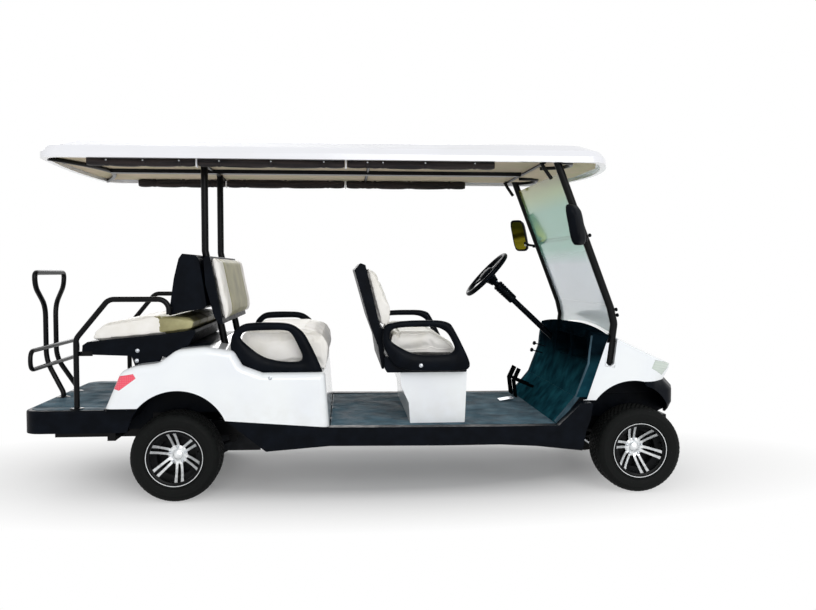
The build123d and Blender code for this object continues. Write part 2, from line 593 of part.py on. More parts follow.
COWL_HALF_WIDTH = 560
COWL_NOSE = FRONT_OVERHANG - 14 + 8.04  # the last is what the rounding takes off the tip
COWL_TAIL_Z = 495
COWL_CHIN_Z = 590.3
COWL_SLOPE = 0.486
COWL_TOP = 869  # height of the cowl's middle where it meets the dash, at COWL_TOP_X
COWL_TOP_X = -132
CROWN = 52
FRONT_ARCH_X = -25
FRONT_ARCH_Z = 340 + BODY_LIFT
FRONT_ARCH_RADIUS = TYRE_RADIUS + 27.5
# Rear edge of the cowl, where the dash begins: x and z from the front axle.
COWL_REAR_EDGE = [(-279, 500), (-172, 814), (-130, 900)]


def nose_plan(inset, z):
    """Plan outline of the nose at a height, drawn in by the inset at the nose only."""
    i = inset
    side = [(-340, COWL_HALF_WIDTH, 0), (80, COWL_HALF_WIDTH, 90), (200 - i * 0.8, 482 - i * 0.4, 110), (270 - i, 300, 150)]
    points = side + [(COWL_NOSE - i, 0, 500)] + [(x, -y, r) for x, y, r in reversed(side)]
    line = FilletPolyline(*[(FRONT_AXLE_X + x, y) for x, y, _ in points], radius=[r for _, _, r in points], close=True)
    return Pos(0, 0, z + BODY_LIFT) * make_face(line)


def crowned(top, at, slope, drop, half):
    """Long solid whose top is bowed across the vehicle and falls forward at a slope."""
    x0, reach = -360, 760
    z = top - slope * (x0 - at)
    arc = ThreePointArc((-half, z - drop), (0, z), (half, z - drop))
    low = Polyline((half, z - drop), (half, 200), (-half, 200), (-half, z - drop))
    section = Plane(origin=(FRONT_AXLE_X + x0, 0, BODY_LIFT), x_dir=(0, 1, 0), z_dir=(1, 0, 0)) * make_face([arc, low])
    return extrude(section, amount=reach * (1 + slope ** 2) ** 0.5, dir=(1, 0, -slope))


def cowl_volume(inset=0):
    """Nose volume: crowned, sloping top, plan outline and a chin that tucks in below the nose."""
    i = inset
    top = crowned(COWL_TOP - i, COWL_TOP_X, COWL_SLOPE, CROWN, COWL_HALF_WIDTH + 60)
    plan = extrude(nose_plan(0, 655), amount=400) + extrude(nose_plan(38, 400), amount=190)
    plan += loft([nose_plan(38, 590), nose_plan(0, 655)])
    volume = top & plan
    if i:
        faces = [extrude(offset(nose_plan(0, 655), amount=-i), amount=400),
                 extrude(offset(nose_plan(38, 400), amount=-i), amount=190),
                 loft([offset(nose_plan(38, 590), amount=-i), offset(nose_plan(0, 655), amount=-i)])]
        volume = top & (faces[0] + faces[1] + faces[2])
    return volume


def pillar_recess(grow, y_in):
    """Room at the left for the windscreen pillar's foot."""
    outline = front([(-184, 676), (-130, 668), (-94, 905), (-168, 905)])
    face = offset(make_face(Polyline(*outline, close=True)), amount=grow, kind=Kind.INTERSECTION) if grow else make_face(Polyline(*outline, close=True))
    return extrude(Plane.XZ.offset(-COWL_HALF_WIDTH - 30) * face, amount=COWL_HALF_WIDTH + 30 - y_in)


def front_cowl():
    """Moulded nose and fenders, open below and behind, arched over the wheels."""
    outer = cowl_volume()
    shell = outer - cowl_volume(BODY_WALL)
    keep = front([(-302, COWL_TAIL_Z)] + COWL_REAR_EDGE + [(400, 900), (400, COWL_CHIN_Z), (0, COWL_CHIN_Z), (-100, COWL_TAIL_Z)])
    keep = slab(keep, -COWL_HALF_WIDTH - 5, COWL_HALF_WIDTH + 5)
    shell &= keep
    x = FRONT_AXLE_X + FRONT_ARCH_X
    shell -= rod((x, -700, FRONT_ARCH_Z), (x, 700, FRONT_ARCH_Z), FRONT_ARCH_RADIUS)
    floor_y = PILLAR_Y - PILLAR_DIAMETER / 2 - RUNNING_GAP
    for wall in both_sides(pillar_recess(4, floor_y - 4) & outer & keep):
        shell += wall
    for room in both_sides(pillar_recess(0, floor_y)):
        shell -= room
    for lamp in both_sides(headlight_prism(0.5)):
        shell -= lamp
    return shell


BUMPER_WALL = 12
STEER_LIMIT = 28


def tyre_sweep(room):
    """Room that the left front tyre needs between its two steering limits."""
    solids = None
    for angle in range(-STEER_LIMIT, STEER_LIMIT + 1, 7):
        wheel = Pos(0, WHEEL_Y - KINGPIN_Y, 0) * Rot(90, 0, 0) * Cylinder(TYRE_RADIUS + room, TYRE_WIDTH + 2 * room)
        turned = Pos(FRONT_AXLE_X, KINGPIN_Y, AXLE_Z) * Rot(0, 0, angle) * wheel
        solids = turned if solids is None else solids + turned
    return solids


def front_bumper():
    """Black bumper that wraps the nose from arch to arch, full in the middle and tucked in above and below."""
    def body(wall):
        w = wall
        levels = [(20, 403), (-14, 466), (-14, 536), (36, 590)]
        solid = None
        for (a, z0), (b, z1) in zip(levels, levels[1:]):
            part = loft([nose_plan(a + w, z0), nose_plan(b + w, z1)])
            solid = part if solid is None else solid + part
        return solid
    band = body(0) - body(BUMPER_WALL)
    x = FRONT_AXLE_X + FRONT_ARCH_X
    band &= block(x + 60, FRONT_AXLE_X + 400, -700, 700, 300, 1000)
    band -= block(x, x + 600, -700, 700, 600 + BODY_LIFT, 900)
    band -= rod((x, -700, FRONT_ARCH_Z), (x, 700, FRONT_ARCH_Z), FRONT_ARCH_RADIUS - 20) & block(x - 300, x + 300, -700, 700, 0, 590 + BODY_LIFT)
    for room in both_sides(tyre_sweep(9)):
        band -= room
    return band


def headlight_prism(room=0):
    """The left headlamp's outline, seen from the side, through the corner of the nose."""
    outline = front([(74, 662), (94, 704), (208, 682), (150, 618)])
    face = make_face(Polyline(*outline, close=True))
    if room:
        face = offset(face, amount=room, kind=Kind.INTERSECTION)
    return extrude(Plane.XZ.offset(-COWL_HALF_WIDTH - 30) * face, amount=170)


def headlight():
    """Left lamp let into the corner of the nose, its clear lens flush with the cowl."""
    return headlight_prism() & (cowl_volume() - cowl_volume(24))


DASH_HALF_WIDTH = 559
DASH_WALL = 5
DASH_BOTTOM_Z = 512.4
# Shelves in the dash, open to the cab: y from and to.
DASH_POCKETS = [(-500, -215), (-165, 130)]
POCKET_Z = (696, 818)


def dashboard():
    """Sloped dash across the cab, hollow towards the cowl, with two open shelves and the column's hole."""
    outline = front([(-337, DASH_BOTTOM_Z), (-266, 690), (-262, 752), (-250, 850), (-240, 900), (-130.6, 900)])
    outline += front([(x - 0.6, z) for x, z in reversed(COWL_REAR_EDGE[:2])]) + front([(-279.6, DASH_BOTTOM_Z)])
    w = DASH_WALL
    hollow = front([(-331, DASH_BOTTOM_Z + w), (-261, 690), (-257, 752), (-245, 850), (-235, 900 - w), (0, 900), (0, DASH_BOTTOM_Z + w)])
    half = DASH_HALF_WIDTH
    dash = slab(outline, -half, half) & crowned(COWL_TOP, COWL_TOP_X, 0.14, 40, half + 20)
    cavity = slab(hollow, -half + w, half - w) & crowned(COWL_TOP - w, COWL_TOP_X, 0.14, 40, half + 20)
    dash -= cavity
    z0, z1 = (z + BODY_LIFT for z in POCKET_Z)
    x0, x1 = FRONT_AXLE_X - 262, FRONT_AXLE_X - 150
    for y0, y1 in DASH_POCKETS:
        dash += block(x0, x1, y0 - 4, y1 + 4, z0 - 4, z1 + 4)
        dash -= block(x0 - 60, x1 - 4, y0, y1, z0, z1)
    return dash - extrude(column_plane(90) * Circle(COLUMN_RADIUS + RUNNING_GAP), amount=-600)


COLUMN_TOP = (-672, 1158)
COLUMN_BASE = (-298, 807)
COLUMN_BOOT_RADIUS = 29
COLUMN_RADIUS = 18
COLUMN_TOP_GAP = 64.5


def column_plane(distance):
    """Plane across the steering column, a distance below the wheel's centre."""
    down = (Vector(COLUMN_BASE[0], 0, COLUMN_BASE[1]) - Vector(COLUMN_TOP[0], 0, COLUMN_TOP[1])).normalized()
    centre = Vector(FRONT_AXLE_X + COLUMN_TOP[0], STEERING_Y, COLUMN_TOP[1] + BODY_LIFT)
    return Plane(origin=centre + down * distance, x_dir=(0, 1, 0), z_dir=-down)


def steering_column():
    """Column through the dash, with its thicker housing below the wheel."""
    housing = extrude(column_plane(90) * Circle(COLUMN_BOOT_RADIUS), amount=-145)
    housing = fillet(housing.edges(), radius=8)
    return housing + extrude(column_plane(COLUMN_TOP_GAP) * Circle(COLUMN_RADIUS), amount=-530)


def steering_wheel():
    """Thick rim with three spokes and a hub that narrows towards the column."""
    plane = column_plane(0)
    wheel = plane * Torus(STEERING_RADIUS - 15, 15)
    wheel += plane * Pos(0, 0, -37) * Cone(18, 52, 50)
    wheel += extrude(plane.offset(-12) * Circle(52), amount=22)
    for angle in (-90, 30, 150):
        spoke = Rot(0, 0, angle) * Pos(98, 0, -4) * Box(132, 36, 12)
        wheel += plane * spoke
    wheel += extrude(plane.offset(-64) * Circle(15), amount=40)
    return wheel


def pedals():
    """Accelerator and brake: bent plates on arms from the toe board."""
    pieces = []
    for y, wide in ((STEERING_Y - 60, 70), (STEERING_Y + 80, 90)):
        plate = front([(-503, 396), (-515, 500), (-480, 574), (-471, 570), (-504, 499), (-493, 396)])
        arm = rod(*run(FRONT_AXLE_X, [(-500, y, 505), (-372.5, y, 452)]), 9)
        arm -= slab(front([(-447, 375.5), (-338, 512.5), (-300, 512.5), (-300, 375.5)]), y - 20, y + 20)
        pieces.append(slab(plate, y - wide / 2, y + wide / 2) + arm)
    return pieces


# ---------------------------------------------------------------- roof

PILLAR = [(-460, 1802), (-148, 985), (-128, 900), (-154, 695)]


def front_pillar():
    """Left windscreen pillar, leaning back from the cowl to the roof."""
    above = block(ROOF_REAR_X, ROOF_FRONT_X, 0, HALF_WIDTH, ROOF_EDGE_Z + ROOF_RECESS, ROOF_TOP_Z)
    foot = Pos(*run(FRONT_AXLE_X, [(PILLAR[-1][0], PILLAR_Y, PILLAR[-1][1])])[0]) * Sphere(PILLAR_DIAMETER / 2)
    return tube(pillar_line(), 60, PILLAR_DIAMETER) + foot - above


def pillar_line():
    """Centre line of the left windscreen pillar."""
    return run(FRONT_AXLE_X, [(x, PILLAR_Y, z) for x, z in PILLAR])


def pillar_point(z):
    """Place on the upper pillar's centre line at a height, counted from the front axle."""
    (x0, z0), (x1, z1) = PILLAR[:2]
    return (x0 + (x1 - x0) * (z - z0) / (z1 - z0), z)


def windshield():
    """Two panes, the upper one hinged to the lower, between the pillars."""
    top, low = pillar_point(1700), pillar_point(1000)
    y = PILLAR_Y - PILLAR_DIAMETER / 2 - RUNNING_GAP
    panes = []
    for start, end in ((0.0, 0.52), (0.53, 1.0)):
        a = (low[0] + (top[0] - low[0]) * start, low[1] + (top[1] - low[1]) * start)
        b = (low[0] + (top[0] - low[0]) * end, low[1] + (top[1] - low[1]) * end)
        panes.append(slab(front([a, b, (b[0] + 5, b[1] + 2), (a[0] + 5, a[1] + 2)]), -y, y))
    return panes


ROOF_REAR_X = REAR_AXLE_X - 678
ROOF_FRONT_X = FRONT_AXLE_X - 76
ROOF_FRONT_BOW = 149
ROOF_REAR_BOW = 40
# The crown's levels: how far in from the edge, and the height above the roof's lower edge.
ROOF_LEVELS = [(0, 30), (22, 62), (95, 98), (235, 124), (420, 136)]


def roof_plan(inset, z):
    """Plan outline of the roof, bowed at the front and the rear, drawn in by the inset."""
    half = HALF_WIDTH - inset
    x0, x1 = ROOF_REAR_X + inset, ROOF_FRONT_X - inset
    front_edge = ThreePointArc((x1 - ROOF_FRONT_BOW, -half), (x1, 0), (x1 - ROOF_FRONT_BOW, half))
    rear_edge = ThreePointArc((x0 + ROOF_REAR_BOW, half), (x0, 0), (x0 + ROOF_REAR_BOW, -half))
    sides = [Line(front_edge @ 1, rear_edge @ 0), Line(rear_edge @ 1, front_edge @ 0)]
    face = make_face([front_edge, sides[0], rear_edge, sides[1]])
    return Pos(0, 0, z) * fillet(face.vertices(), radius=85)


def roof_canopy():
    """Moulded roof: thin upright lip, crowned top and a shallow recess below."""
    roof = extrude(roof_plan(0, ROOF_EDGE_Z), amount=ROOF_LEVELS[0][1])
    for (a, low), (b, high) in zip(ROOF_LEVELS, ROOF_LEVELS[1:]):
        roof += loft([roof_plan(a, ROOF_EDGE_Z + low), roof_plan(b, ROOF_EDGE_Z + high)])
    return roof - extrude(roof_plan(28, ROOF_EDGE_Z), amount=ROOF_RECESS)


def roof_side_panels():
    """Rolled side curtains in their dark sleeves under the roof's edges."""
    pieces = []
    for x0, x1 in ((REAR_AXLE_X - 428, REAR_AXLE_X + 112), (REAR_AXLE_X + 122, REAR_AXLE_X + 867),
                   (REAR_AXLE_X + 879, FRONT_AXLE_X - 775)):
        sleeve = block(x0, x1, 500, 545, ROOF_EDGE_Z - 35, ROOF_EDGE_Z + ROOF_RECESS)
        pieces += both_sides(sleeve)
    return pieces


def mirror_left():
    """Door mirror on an arm from the pillar."""
    outline = front([(-421, 1519), (-395, 1529), (-341, 1365), (-335, 1314), (-377, 1304)])
    head = slab(outline, MIRROR_Y - 62, MIRROR_Y + 62, 8)
    arm = rod(*run(FRONT_AXLE_X, [(-290, PILLAR_Y, 1345), (-362, MIRROR_Y - 40, 1380)]), 8)
    return head + arm - tube(pillar_line(), 60, PILLAR_DIAMETER + RUNNING_GAP)


# ---------------------------------------------------------------- write the nodes

os.makedirs("parts", exist_ok=True)
save_wheels()
save("knuckle_left", knuckle())
save("knuckle_right", mirror(knuckle(), about=Plane.XZ))
save("tie_rod", tie_rod())
save("front_axle", front_axle())
save("rear_axle", rear_axle())
save("drive_motor", drive_motor())
save("leaf_springs", both_sides(leaf_spring(FRONT_AXLE_X)), both_sides(leaf_spring(REAR_AXLE_X)))
save("chassis_frame", chassis_frame())
save("floor_panel", floor_panel())
save("side_sills", both_sides(sill()))
save("battery_pack", battery_pack())
save("rear_body", rear_body())
save("wheel_liners", both_sides(wheel_liner()), both_sides(front_wheel_liner()))
save("tail_lights", both_sides(tail_light()))
save("rear_footplate", rear_footplate())
save("row1_base", row1_base())
save("row1_pan", slab(front(ROW1_PAN), -ARMREST_INNER_Y, ARMREST_INNER_Y, 8))
save("row1_cushion", slab(front(ROW1_CUSHION), -CUSHION_HALF_WIDTH, CUSHION_HALF_WIDTH, 10))
save("row1_back", slab(front(ROW1_BACK), -CUSHION_HALF_WIDTH, CUSHION_HALF_WIDTH, 4))
save("row2_cushion", on_body(slab(rear(ROW2_CUSHION), -CUSHION_HALF_WIDTH, CUSHION_HALF_WIDTH, 10)))
save("row2_back", slab(rear(ROW2_BACK), -CUSHION_HALF_WIDTH, CUSHION_HALF_WIDTH, 6))
save("rear_seat_pan", rear_seat_pan())
save("rear_seat_cushion", slab(rear(REAR_CUSHION), -CUSHION_HALF_WIDTH, CUSHION_HALF_WIDTH, 10))
save("rear_seat_back", slab(rear(REAR_BACK), -CUSHION_HALF_WIDTH + TRAY_WALL + 0.5, CUSHION_HALF_WIDTH - TRAY_WALL - 0.5))
save("seat_back_shells", seat_back_shells())
save("seat_armrests", both_sides(armrest(front(ROW1_ARM), front(ROW1_ARM_HOLE), ROW1_ARM_ROUND, ROW1_ARM_HOLE_ROUND)),
     both_sides(on_body(armrest(rear(ROW2_ARM), rear(ROW2_ARM_HOLE), ROW2_ARM_ROUND, ROW2_ARM_HOLE_ROUND))))
save("rear_side_rails", both_sides(side_rail()))
save("rear_grab_bar", grab_bar())
save("front_cowl", front_cowl())
save("front_bumper", front_bumper())
save("headlights", both_sides(headlight()))
save("dashboard", dashboard())
save("steering_column", steering_column())
save("steering_wheel", steering_wheel())
save("pedals", pedals())
save("windshield", windshield())
save("roof_supports", both_sides(front_pillar()), both_sides(rear_roof_leg()))
save("roof_canopy", roof_canopy())
save("roof_side_panels", roof_side_panels())
save("mirrors", both_sides(mirror_left()))
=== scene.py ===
# %% [markdown]
# # A six-seat golf cart
# The cart's frame, panels and running gear come in as a fixed model, already at their real size in
# metres. This file gives every piece its finish, and models what a finish alone can't give: tyre
# tread, alloy spokes, sewn seats, bolts and trim. +X is forward, +Y the vehicle's left, +Z up.

# %% Load the frame
import json
import math

import bmesh
import bpy
from mathutils import Matrix, Vector
from mathutils.bvhtree import BVHTree


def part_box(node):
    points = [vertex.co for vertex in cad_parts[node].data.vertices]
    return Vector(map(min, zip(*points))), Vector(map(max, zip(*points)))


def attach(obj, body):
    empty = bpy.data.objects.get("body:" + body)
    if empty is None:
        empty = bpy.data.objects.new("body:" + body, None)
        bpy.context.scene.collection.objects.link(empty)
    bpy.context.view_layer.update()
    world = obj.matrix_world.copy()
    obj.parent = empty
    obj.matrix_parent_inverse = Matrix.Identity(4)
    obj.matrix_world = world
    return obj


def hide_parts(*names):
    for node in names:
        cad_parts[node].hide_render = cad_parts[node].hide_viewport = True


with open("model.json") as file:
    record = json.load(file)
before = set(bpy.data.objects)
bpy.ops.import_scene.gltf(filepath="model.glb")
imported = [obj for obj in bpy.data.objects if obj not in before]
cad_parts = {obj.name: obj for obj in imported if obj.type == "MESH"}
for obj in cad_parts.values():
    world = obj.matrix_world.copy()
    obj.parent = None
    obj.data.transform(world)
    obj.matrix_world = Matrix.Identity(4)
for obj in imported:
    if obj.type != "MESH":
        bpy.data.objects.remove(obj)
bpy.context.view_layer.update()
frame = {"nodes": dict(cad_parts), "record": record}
nodes = frame["nodes"]
scene = bpy.context.scene

# %% [markdown]
# Every length below is written in millimetres, as on a drawing, and turned to metres once. Places
# along the cart are counted from the axle they belong to.

# %% Lengths and axles
MM = 0.001
AXLE_X = {"front": (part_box("tyre_front_left")[0].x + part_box("tyre_front_left")[1].x) / 2,
          "rear": (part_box("tyre_rear_left")[0].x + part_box("tyre_rear_left")[1].x) / 2}
AXLE_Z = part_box("tyre_rear_left")[1].z / 2
FORWARD, BACKWARD = Vector((1, 0, 0)), Vector((-1, 0, 0))
LEFT, UP = Vector((0, 1, 0)), Vector((0, 0, 1))
CORNERS = ("front_left", "front_right", "rear_left", "rear_right")


def place(axle, x, y, z):
    """A point in metres, x counted in millimetres from an axle."""
    return Vector((AXLE_X[axle] + x * MM, y * MM, z * MM))


def side_outline(axle, points):
    """The (x, z) points of an outline in metres, x counted in millimetres from an axle."""
    return [(place(axle, x, 0, 0).x, z * MM) for x, z in points]


def round_axle(number, count):
    """One of count places round an axle: the way out to it, and the way along the tyre there."""
    angle = 2 * math.pi * number / count
    return Vector((math.cos(angle), 0, math.sin(angle))), Vector((-math.sin(angle), 0, math.cos(angle)))


print("axles at", {name: round(x, 4) for name, x in AXLE_X.items()}, "height", round(AXLE_Z, 4))

# %% [markdown]
# Colours are written as the hex values a paint chart gives. Blender shades in linear light, so one
# function turns each of the three numbers from the screen's curve to linear. A second one adds a
# node, which keeps the materials below short.

# %% Colour and node helpers


def colour(hex_value, alpha=1.0):
    """Linear RGBA from an sRGB hex value such as 0xF2F2EE."""
    parts = [((hex_value >> shift) & 255) / 255 for shift in (16, 8, 0)]
    linear = [p / 12.92 if p <= 0.04045 else ((p + 0.055) / 1.055) ** 2.4 for p in parts]
    return (*linear, alpha)


def add_node(tree, kind, settings=None, links=None):
    """One node in a tree. Settings set its sockets or attributes, links join other nodes' outputs."""
    node = tree.nodes.new(kind)
    for name, value in (settings or {}).items():
        if isinstance(name, int) or name in node.inputs:
            node.inputs[name].default_value = value
        else:
            setattr(node, name, value)
    for name, source in (links or {}).items():
        tree.links.new(source, node.inputs[name])
    return node


# %% [markdown]
# Each finish starts the same way: one Principled surface, and the piece's own coordinates to place
# a pattern by. Everything that differs is added by the finish itself.

# %% Start a finish
materials = {}


def start_finish(name, **surface):
    """A new finish. Underscores in the sockets' names stand for spaces."""
    material = bpy.data.materials.new(name)
    material.use_nodes = True
    tree = material.node_tree
    tree.nodes.clear()
    sockets = {key.replace("_", " "): value for key, value in surface.items()}
    shader = add_node(tree, "ShaderNodeBsdfPrincipled", sockets)
    add_node(tree, "ShaderNodeOutputMaterial", None, {"Surface": shader.outputs["BSDF"]})
    materials[name] = material
    where = add_node(tree, "ShaderNodeTexCoord").outputs["Object"]
    return tree, shader, where


# %% [markdown]
# No real surface has one colour: paint holds a little dust, rubber scuffs, vinyl darkens in its
# grain. `mottle` drifts between two colours in blobs of a real width, and `patchy` does the same
# with a number, such as the roughness of a worn spot. `by_height` follows the height above the
# ground, `ripple` is a row of crests a known distance apart, for lathe marks, threads and lens
# prisms, and `emboss` turns such a pattern into relief. `pebble` presses a grain in.

# %% Surface recipes
def patchy(tree, where, size_mm, low, high, to_low=0.0, to_high=1.0, detail=3.0):
    """A number from to_low to to_high that drifts in blobs about size_mm wide."""
    noise = {"Scale": 1 / (size_mm * MM), "Detail": detail}
    blobs = add_node(tree, "ShaderNodeTexNoise", noise, {"Vector": where})
    span = {"From Min": low, "From Max": high, "To Min": to_low, "To Max": to_high}
    return add_node(tree, "ShaderNodeMapRange", span, {"Value": blobs.outputs["Fac"]}).outputs["Result"]


def mottle(tree, where, size_mm, first, second, low=0.35, high=0.7, detail=3.0):
    """A colour that drifts between two hex values in blobs about size_mm wide."""
    share = patchy(tree, where, size_mm, low, high, detail=detail)
    shades = {"data_type": "RGBA", 6: colour(first), 7: colour(second)}
    return add_node(tree, "ShaderNodeMix", shades, {0: share}).outputs[2]


def by_height(tree, where, low, high, to_low=0.0, to_high=1.0):
    """A number that goes from to_low to to_high between two heights in metres."""
    height = add_node(tree, "ShaderNodeSeparateXYZ", None, {0: where}).outputs["Z"]
    span = {"From Min": low, "From Max": high, "To Min": to_low, "To Max": to_high}
    return add_node(tree, "ShaderNodeMapRange", span, {"Value": height}).outputs["Result"]


def ripple(tree, distance, spacing_mm):
    """Crests from 0 to 1 along a distance, spacing_mm apart."""
    pace = 2 * math.pi / (spacing_mm * MM)
    turns = add_node(tree, "ShaderNodeMath", {"operation": "MULTIPLY", 1: pace}, {0: distance})
    wave = add_node(tree, "ShaderNodeMath", {"operation": "SINE"}, {0: turns.outputs[0]})
    lifted = add_node(tree, "ShaderNodeMapRange", {"From Min": -1.0}, {"Value": wave.outputs[0]})
    return lifted.outputs["Result"]


def crossed_ripples(tree, where, spacing_mm):
    """A grid of bumps from 0 to 1 on faces that look sideways, spacing_mm apart."""
    axes = add_node(tree, "ShaderNodeSeparateXYZ", None, {0: where})
    rows, columns = (ripple(tree, axes.outputs[name], spacing_mm) for name in ("X", "Z"))
    return add_node(tree, "ShaderNodeMath", {"operation": "MULTIPLY"}, {0: rows, 1: columns}).outputs[0]


def emboss(tree, shader, pattern, depth_mm, strength=1.0):
    """Relief on a finish, as deep as depth_mm where the pattern goes from 0 to 1."""
    depth = {"Strength": strength, "Distance": depth_mm * MM}
    relief = add_node(tree, "ShaderNodeBump", depth, {"Height": pattern})
    tree.links.new(relief.outputs["Normal"], shader.inputs["Normal"])


def pebble(tree, shader, where, grain_mm, depth_mm, strength=1.0, rounded=False):
    """Relief of a grain: cells where rounded, otherwise soft noise, as deep as depth_mm."""
    size = {"Scale": 1 / (grain_mm * MM)}
    if rounded:
        grain = add_node(tree, "ShaderNodeTexVoronoi", size, {"Vector": where}).outputs["Distance"]
    else:
        noise = add_node(tree, "ShaderNodeTexNoise", {**size, "Detail": 1.0}, {"Vector": where})
        grain = noise.outputs["Fac"]
    emboss(tree, shader, grain, depth_mm, strength)


def plain_finish(name, tones, grain, worn=None, rounded=False, **surface):
    """A finish from mottle's numbers, pebble's and, where its shine wears in patches, patchy's."""
    tree, shader, where = start_finish(name, **surface)
    tree.links.new(mottle(tree, where, *tones), shader.inputs["Base Color"])
    if worn:
        tree.links.new(patchy(tree, where, *worn), shader.inputs["Roughness"])
    pebble(tree, shader, where, *grain, rounded=rounded)


# %% [markdown]
# The body and the roof are thermoformed ABS with a gloss cap layer. To the eye that is a clean
# white with sharp reflections, a faint waviness a hand's width across from the forming, and a veil
# of road dust low down. The dust ends at a height, so the roof has none. The roof's whites are
# painted a little greyer and bluer than the body's: painted shade.

# %% Gloss white panels
# Each white: where its dust ends in metres, and the two whites that it drifts between.
# The roof's whites, greyer and bluer than the body's, are painted shade.
WHITES = (("white_body", 0.62, 0xF4F8FA, 0xEEF2F7), ("roof_white", 0.31, 0xECEDF2, 0xE9EAEE))
DUST, DUSTIEST_Z = 0xD9D8D2, 0.3
for name, dust_top, clean, cool in WHITES:
    tree, shader, where = start_finish(name, Roughness=0.2, IOR=1.5, Coat_Weight=0.5, Coat_Roughness=0.06)
    low_down = by_height(tree, where, DUSTIEST_Z, dust_top, 0.5, 0.0)
    dust = add_node(tree, "ShaderNodeMath", {"operation": "MULTIPLY"},
                    {0: low_down, 1: patchy(tree, where, 60, 0.3, 0.8)})
    dusty = add_node(tree, "ShaderNodeMix", {"data_type": "RGBA", 7: colour(DUST)},
                     {0: dust.outputs[0], 6: mottle(tree, where, 240, clean, cool, 0.3, 0.7, 1.0)})
    tree.links.new(dusty.outputs[2], shader.inputs["Base Color"])
    pebble(tree, shader, where, 320, 0.25, 0.4)

# %% [markdown]
# The armrests, seat shells, skirts and bumper are moulded polypropylene in blue-black. Its mould has
# a leather-like grain about 1.5 mm wide; here it is 4 mm, because finer grain would vanish. The
# grain breaks the shine into a soft sheen, and a low specular level keeps it from going grey where
# the room grazes it.

# %% Grained black mouldings
plain_finish("black_plastic", (70, 0x03060C, 0x080D15), (4, 0.25, 0.4), (35, 0.3, 0.7, 0.3, 0.48),
             rounded=True, IOR=1.49, Specular_IOR_Level=0.06)

# %% [markdown]
# The dash is the same plastic, nearly black above. Its lower half faces the open side of the cab,
# and there its colour drifts to a mottled teal: a painted reflection, which follows height.
# Specular 0 keeps the room's white off a face that is seen nearly edge-on.

# %% Black dash moulding with a painted teal reflection
tree, shader, where = start_finish("teal_plastic", IOR=1.49, Specular_IOR_Level=0.0)
# The teal below is a painted reflection of the open side; above it is the moulding's own near-black.
teal = mottle(tree, where, 90, 0x0D2C38, 0x1F5360)
blackish = mottle(tree, where, 70, 0x040B10, 0x0A1820)
upward = by_height(tree, where, 0.56, 0.74)
tone = add_node(tree, "ShaderNodeMix", {"data_type": "RGBA"}, {0: upward, 6: teal, 7: blackish})
tree.links.new(tone.outputs[2], shader.inputs["Base Color"])
tree.links.new(patchy(tree, where, 40, 0.3, 0.7, 0.4, 0.55), shader.inputs["Roughness"])
pebble(tree, shader, where, 5, 0.2, 0.1, rounded=True)

# %% [markdown]
# Frame, axles, springs, rails and roof tubes are steel with a satin black powder coat. The powder
# melts into a skin with a fine orange peel, which blurs a highlight without hiding it.

# %% Powder-coated steel
STEELS = (("black_steel", 0x050608, 0x0A0B0D, 0.3), ("motor_paint", 0x1E2023, 0x2C2E32, 0.45))
for name, tone, worn, rough in STEELS:
    plain_finish(name, (45, tone, worn, 0.45, 0.75), (3.5, 0.06), Roughness=rough, IOR=1.5,
                 Coat_Weight=0.02, Coat_Roughness=0.2, Specular_IOR_Level=0.12)

# %% [markdown]
# Bolts, nuts and the tie rod are zinc-plated steel: a bright, slightly blue metal with a fine grain.

# %% Zinc-plated steel
plain_finish("bare_steel", (12, 0xC9CDD2, 0xAEB2B8), (2.5, 0.03), Metallic=1.0, Roughness=0.32)

# %% [markdown]
# The wheels are cast aluminium. The whole casting is painted gloss black, then the spokes' faces and
# the lip are turned bright on a lathe. The cut leaves rings round the axle about half a millimetre
# apart, drawn here at 2.5 mm so that they show, and they stretch every highlight sideways. A bare
# metal only mirrors, and here it would mirror the dark arch, so Metallic is 0.55: the rest stays
# the pale grey of the Base Color.

# %% Turned and painted alloy
plain_finish("painted_alloy", (30, 0x060708, 0x0E1012), (6, 0.05), Roughness=0.35, IOR=1.5,
             Specular_IOR_Level=0.1)

tree, shader, where = start_finish("machined_alloy", Metallic=0.55)
axes = add_node(tree, "ShaderNodeSeparateXYZ", None, {0: where})
reaches = []
for axle_x in AXLE_X.values():
    away = add_node(tree, "ShaderNodeMath", {"operation": "SUBTRACT", 1: axle_x}, {0: axes.outputs["X"]})
    reaches.append(add_node(tree, "ShaderNodeMath", {"operation": "ABSOLUTE"}, {0: away.outputs[0]}))
front_reach, rear_reach = (reach.outputs[0] for reach in reaches)
along = add_node(tree, "ShaderNodeMath", {"operation": "MINIMUM"}, {0: front_reach, 1: rear_reach})
above = add_node(tree, "ShaderNodeMath", {"operation": "SUBTRACT", 1: AXLE_Z}, {0: axes.outputs["Z"]})
from_axle = add_node(tree, "ShaderNodeCombineXYZ", None, {0: along.outputs[0], 1: above.outputs[0]})
radius = add_node(tree, "ShaderNodeVectorMath", {"operation": "LENGTH"}, {0: from_axle.outputs[0]})
lathe_marks = ripple(tree, radius.outputs["Value"], 2.5)
tree.links.new(mottle(tree, where, 25, 0xF2F4F5, 0xD6DADC), shader.inputs["Base Color"])
cut = add_node(tree, "ShaderNodeMapRange", {"To Min": 0.2, "To Max": 0.36}, {"Value": lathe_marks})
tree.links.new(cut.outputs["Result"], shader.inputs["Roughness"])
emboss(tree, shader, lathe_marks, 0.02, 0.4)

# %% [markdown]
# Tyre rubber is carbon black in rubber: never quite black, dull, with a bloom of dust that makes
# the sidewall greyer in patches.

# %% Tyre rubber
plain_finish("tyre_rubber", (25, 0x070808, 0x131615, 0.4, 0.75), (3, 0.12, 0.6), (25, 0.4, 0.75, 0.6, 0.85),
             IOR=1.52, Specular_IOR_Level=0.12)

# %% [markdown]
# The floor and the rear step are covered by ribbed rubber mats, blue-grey with dust. The ribs
# themselves are modelled further down; the finish adds the foot-worn patches between them.

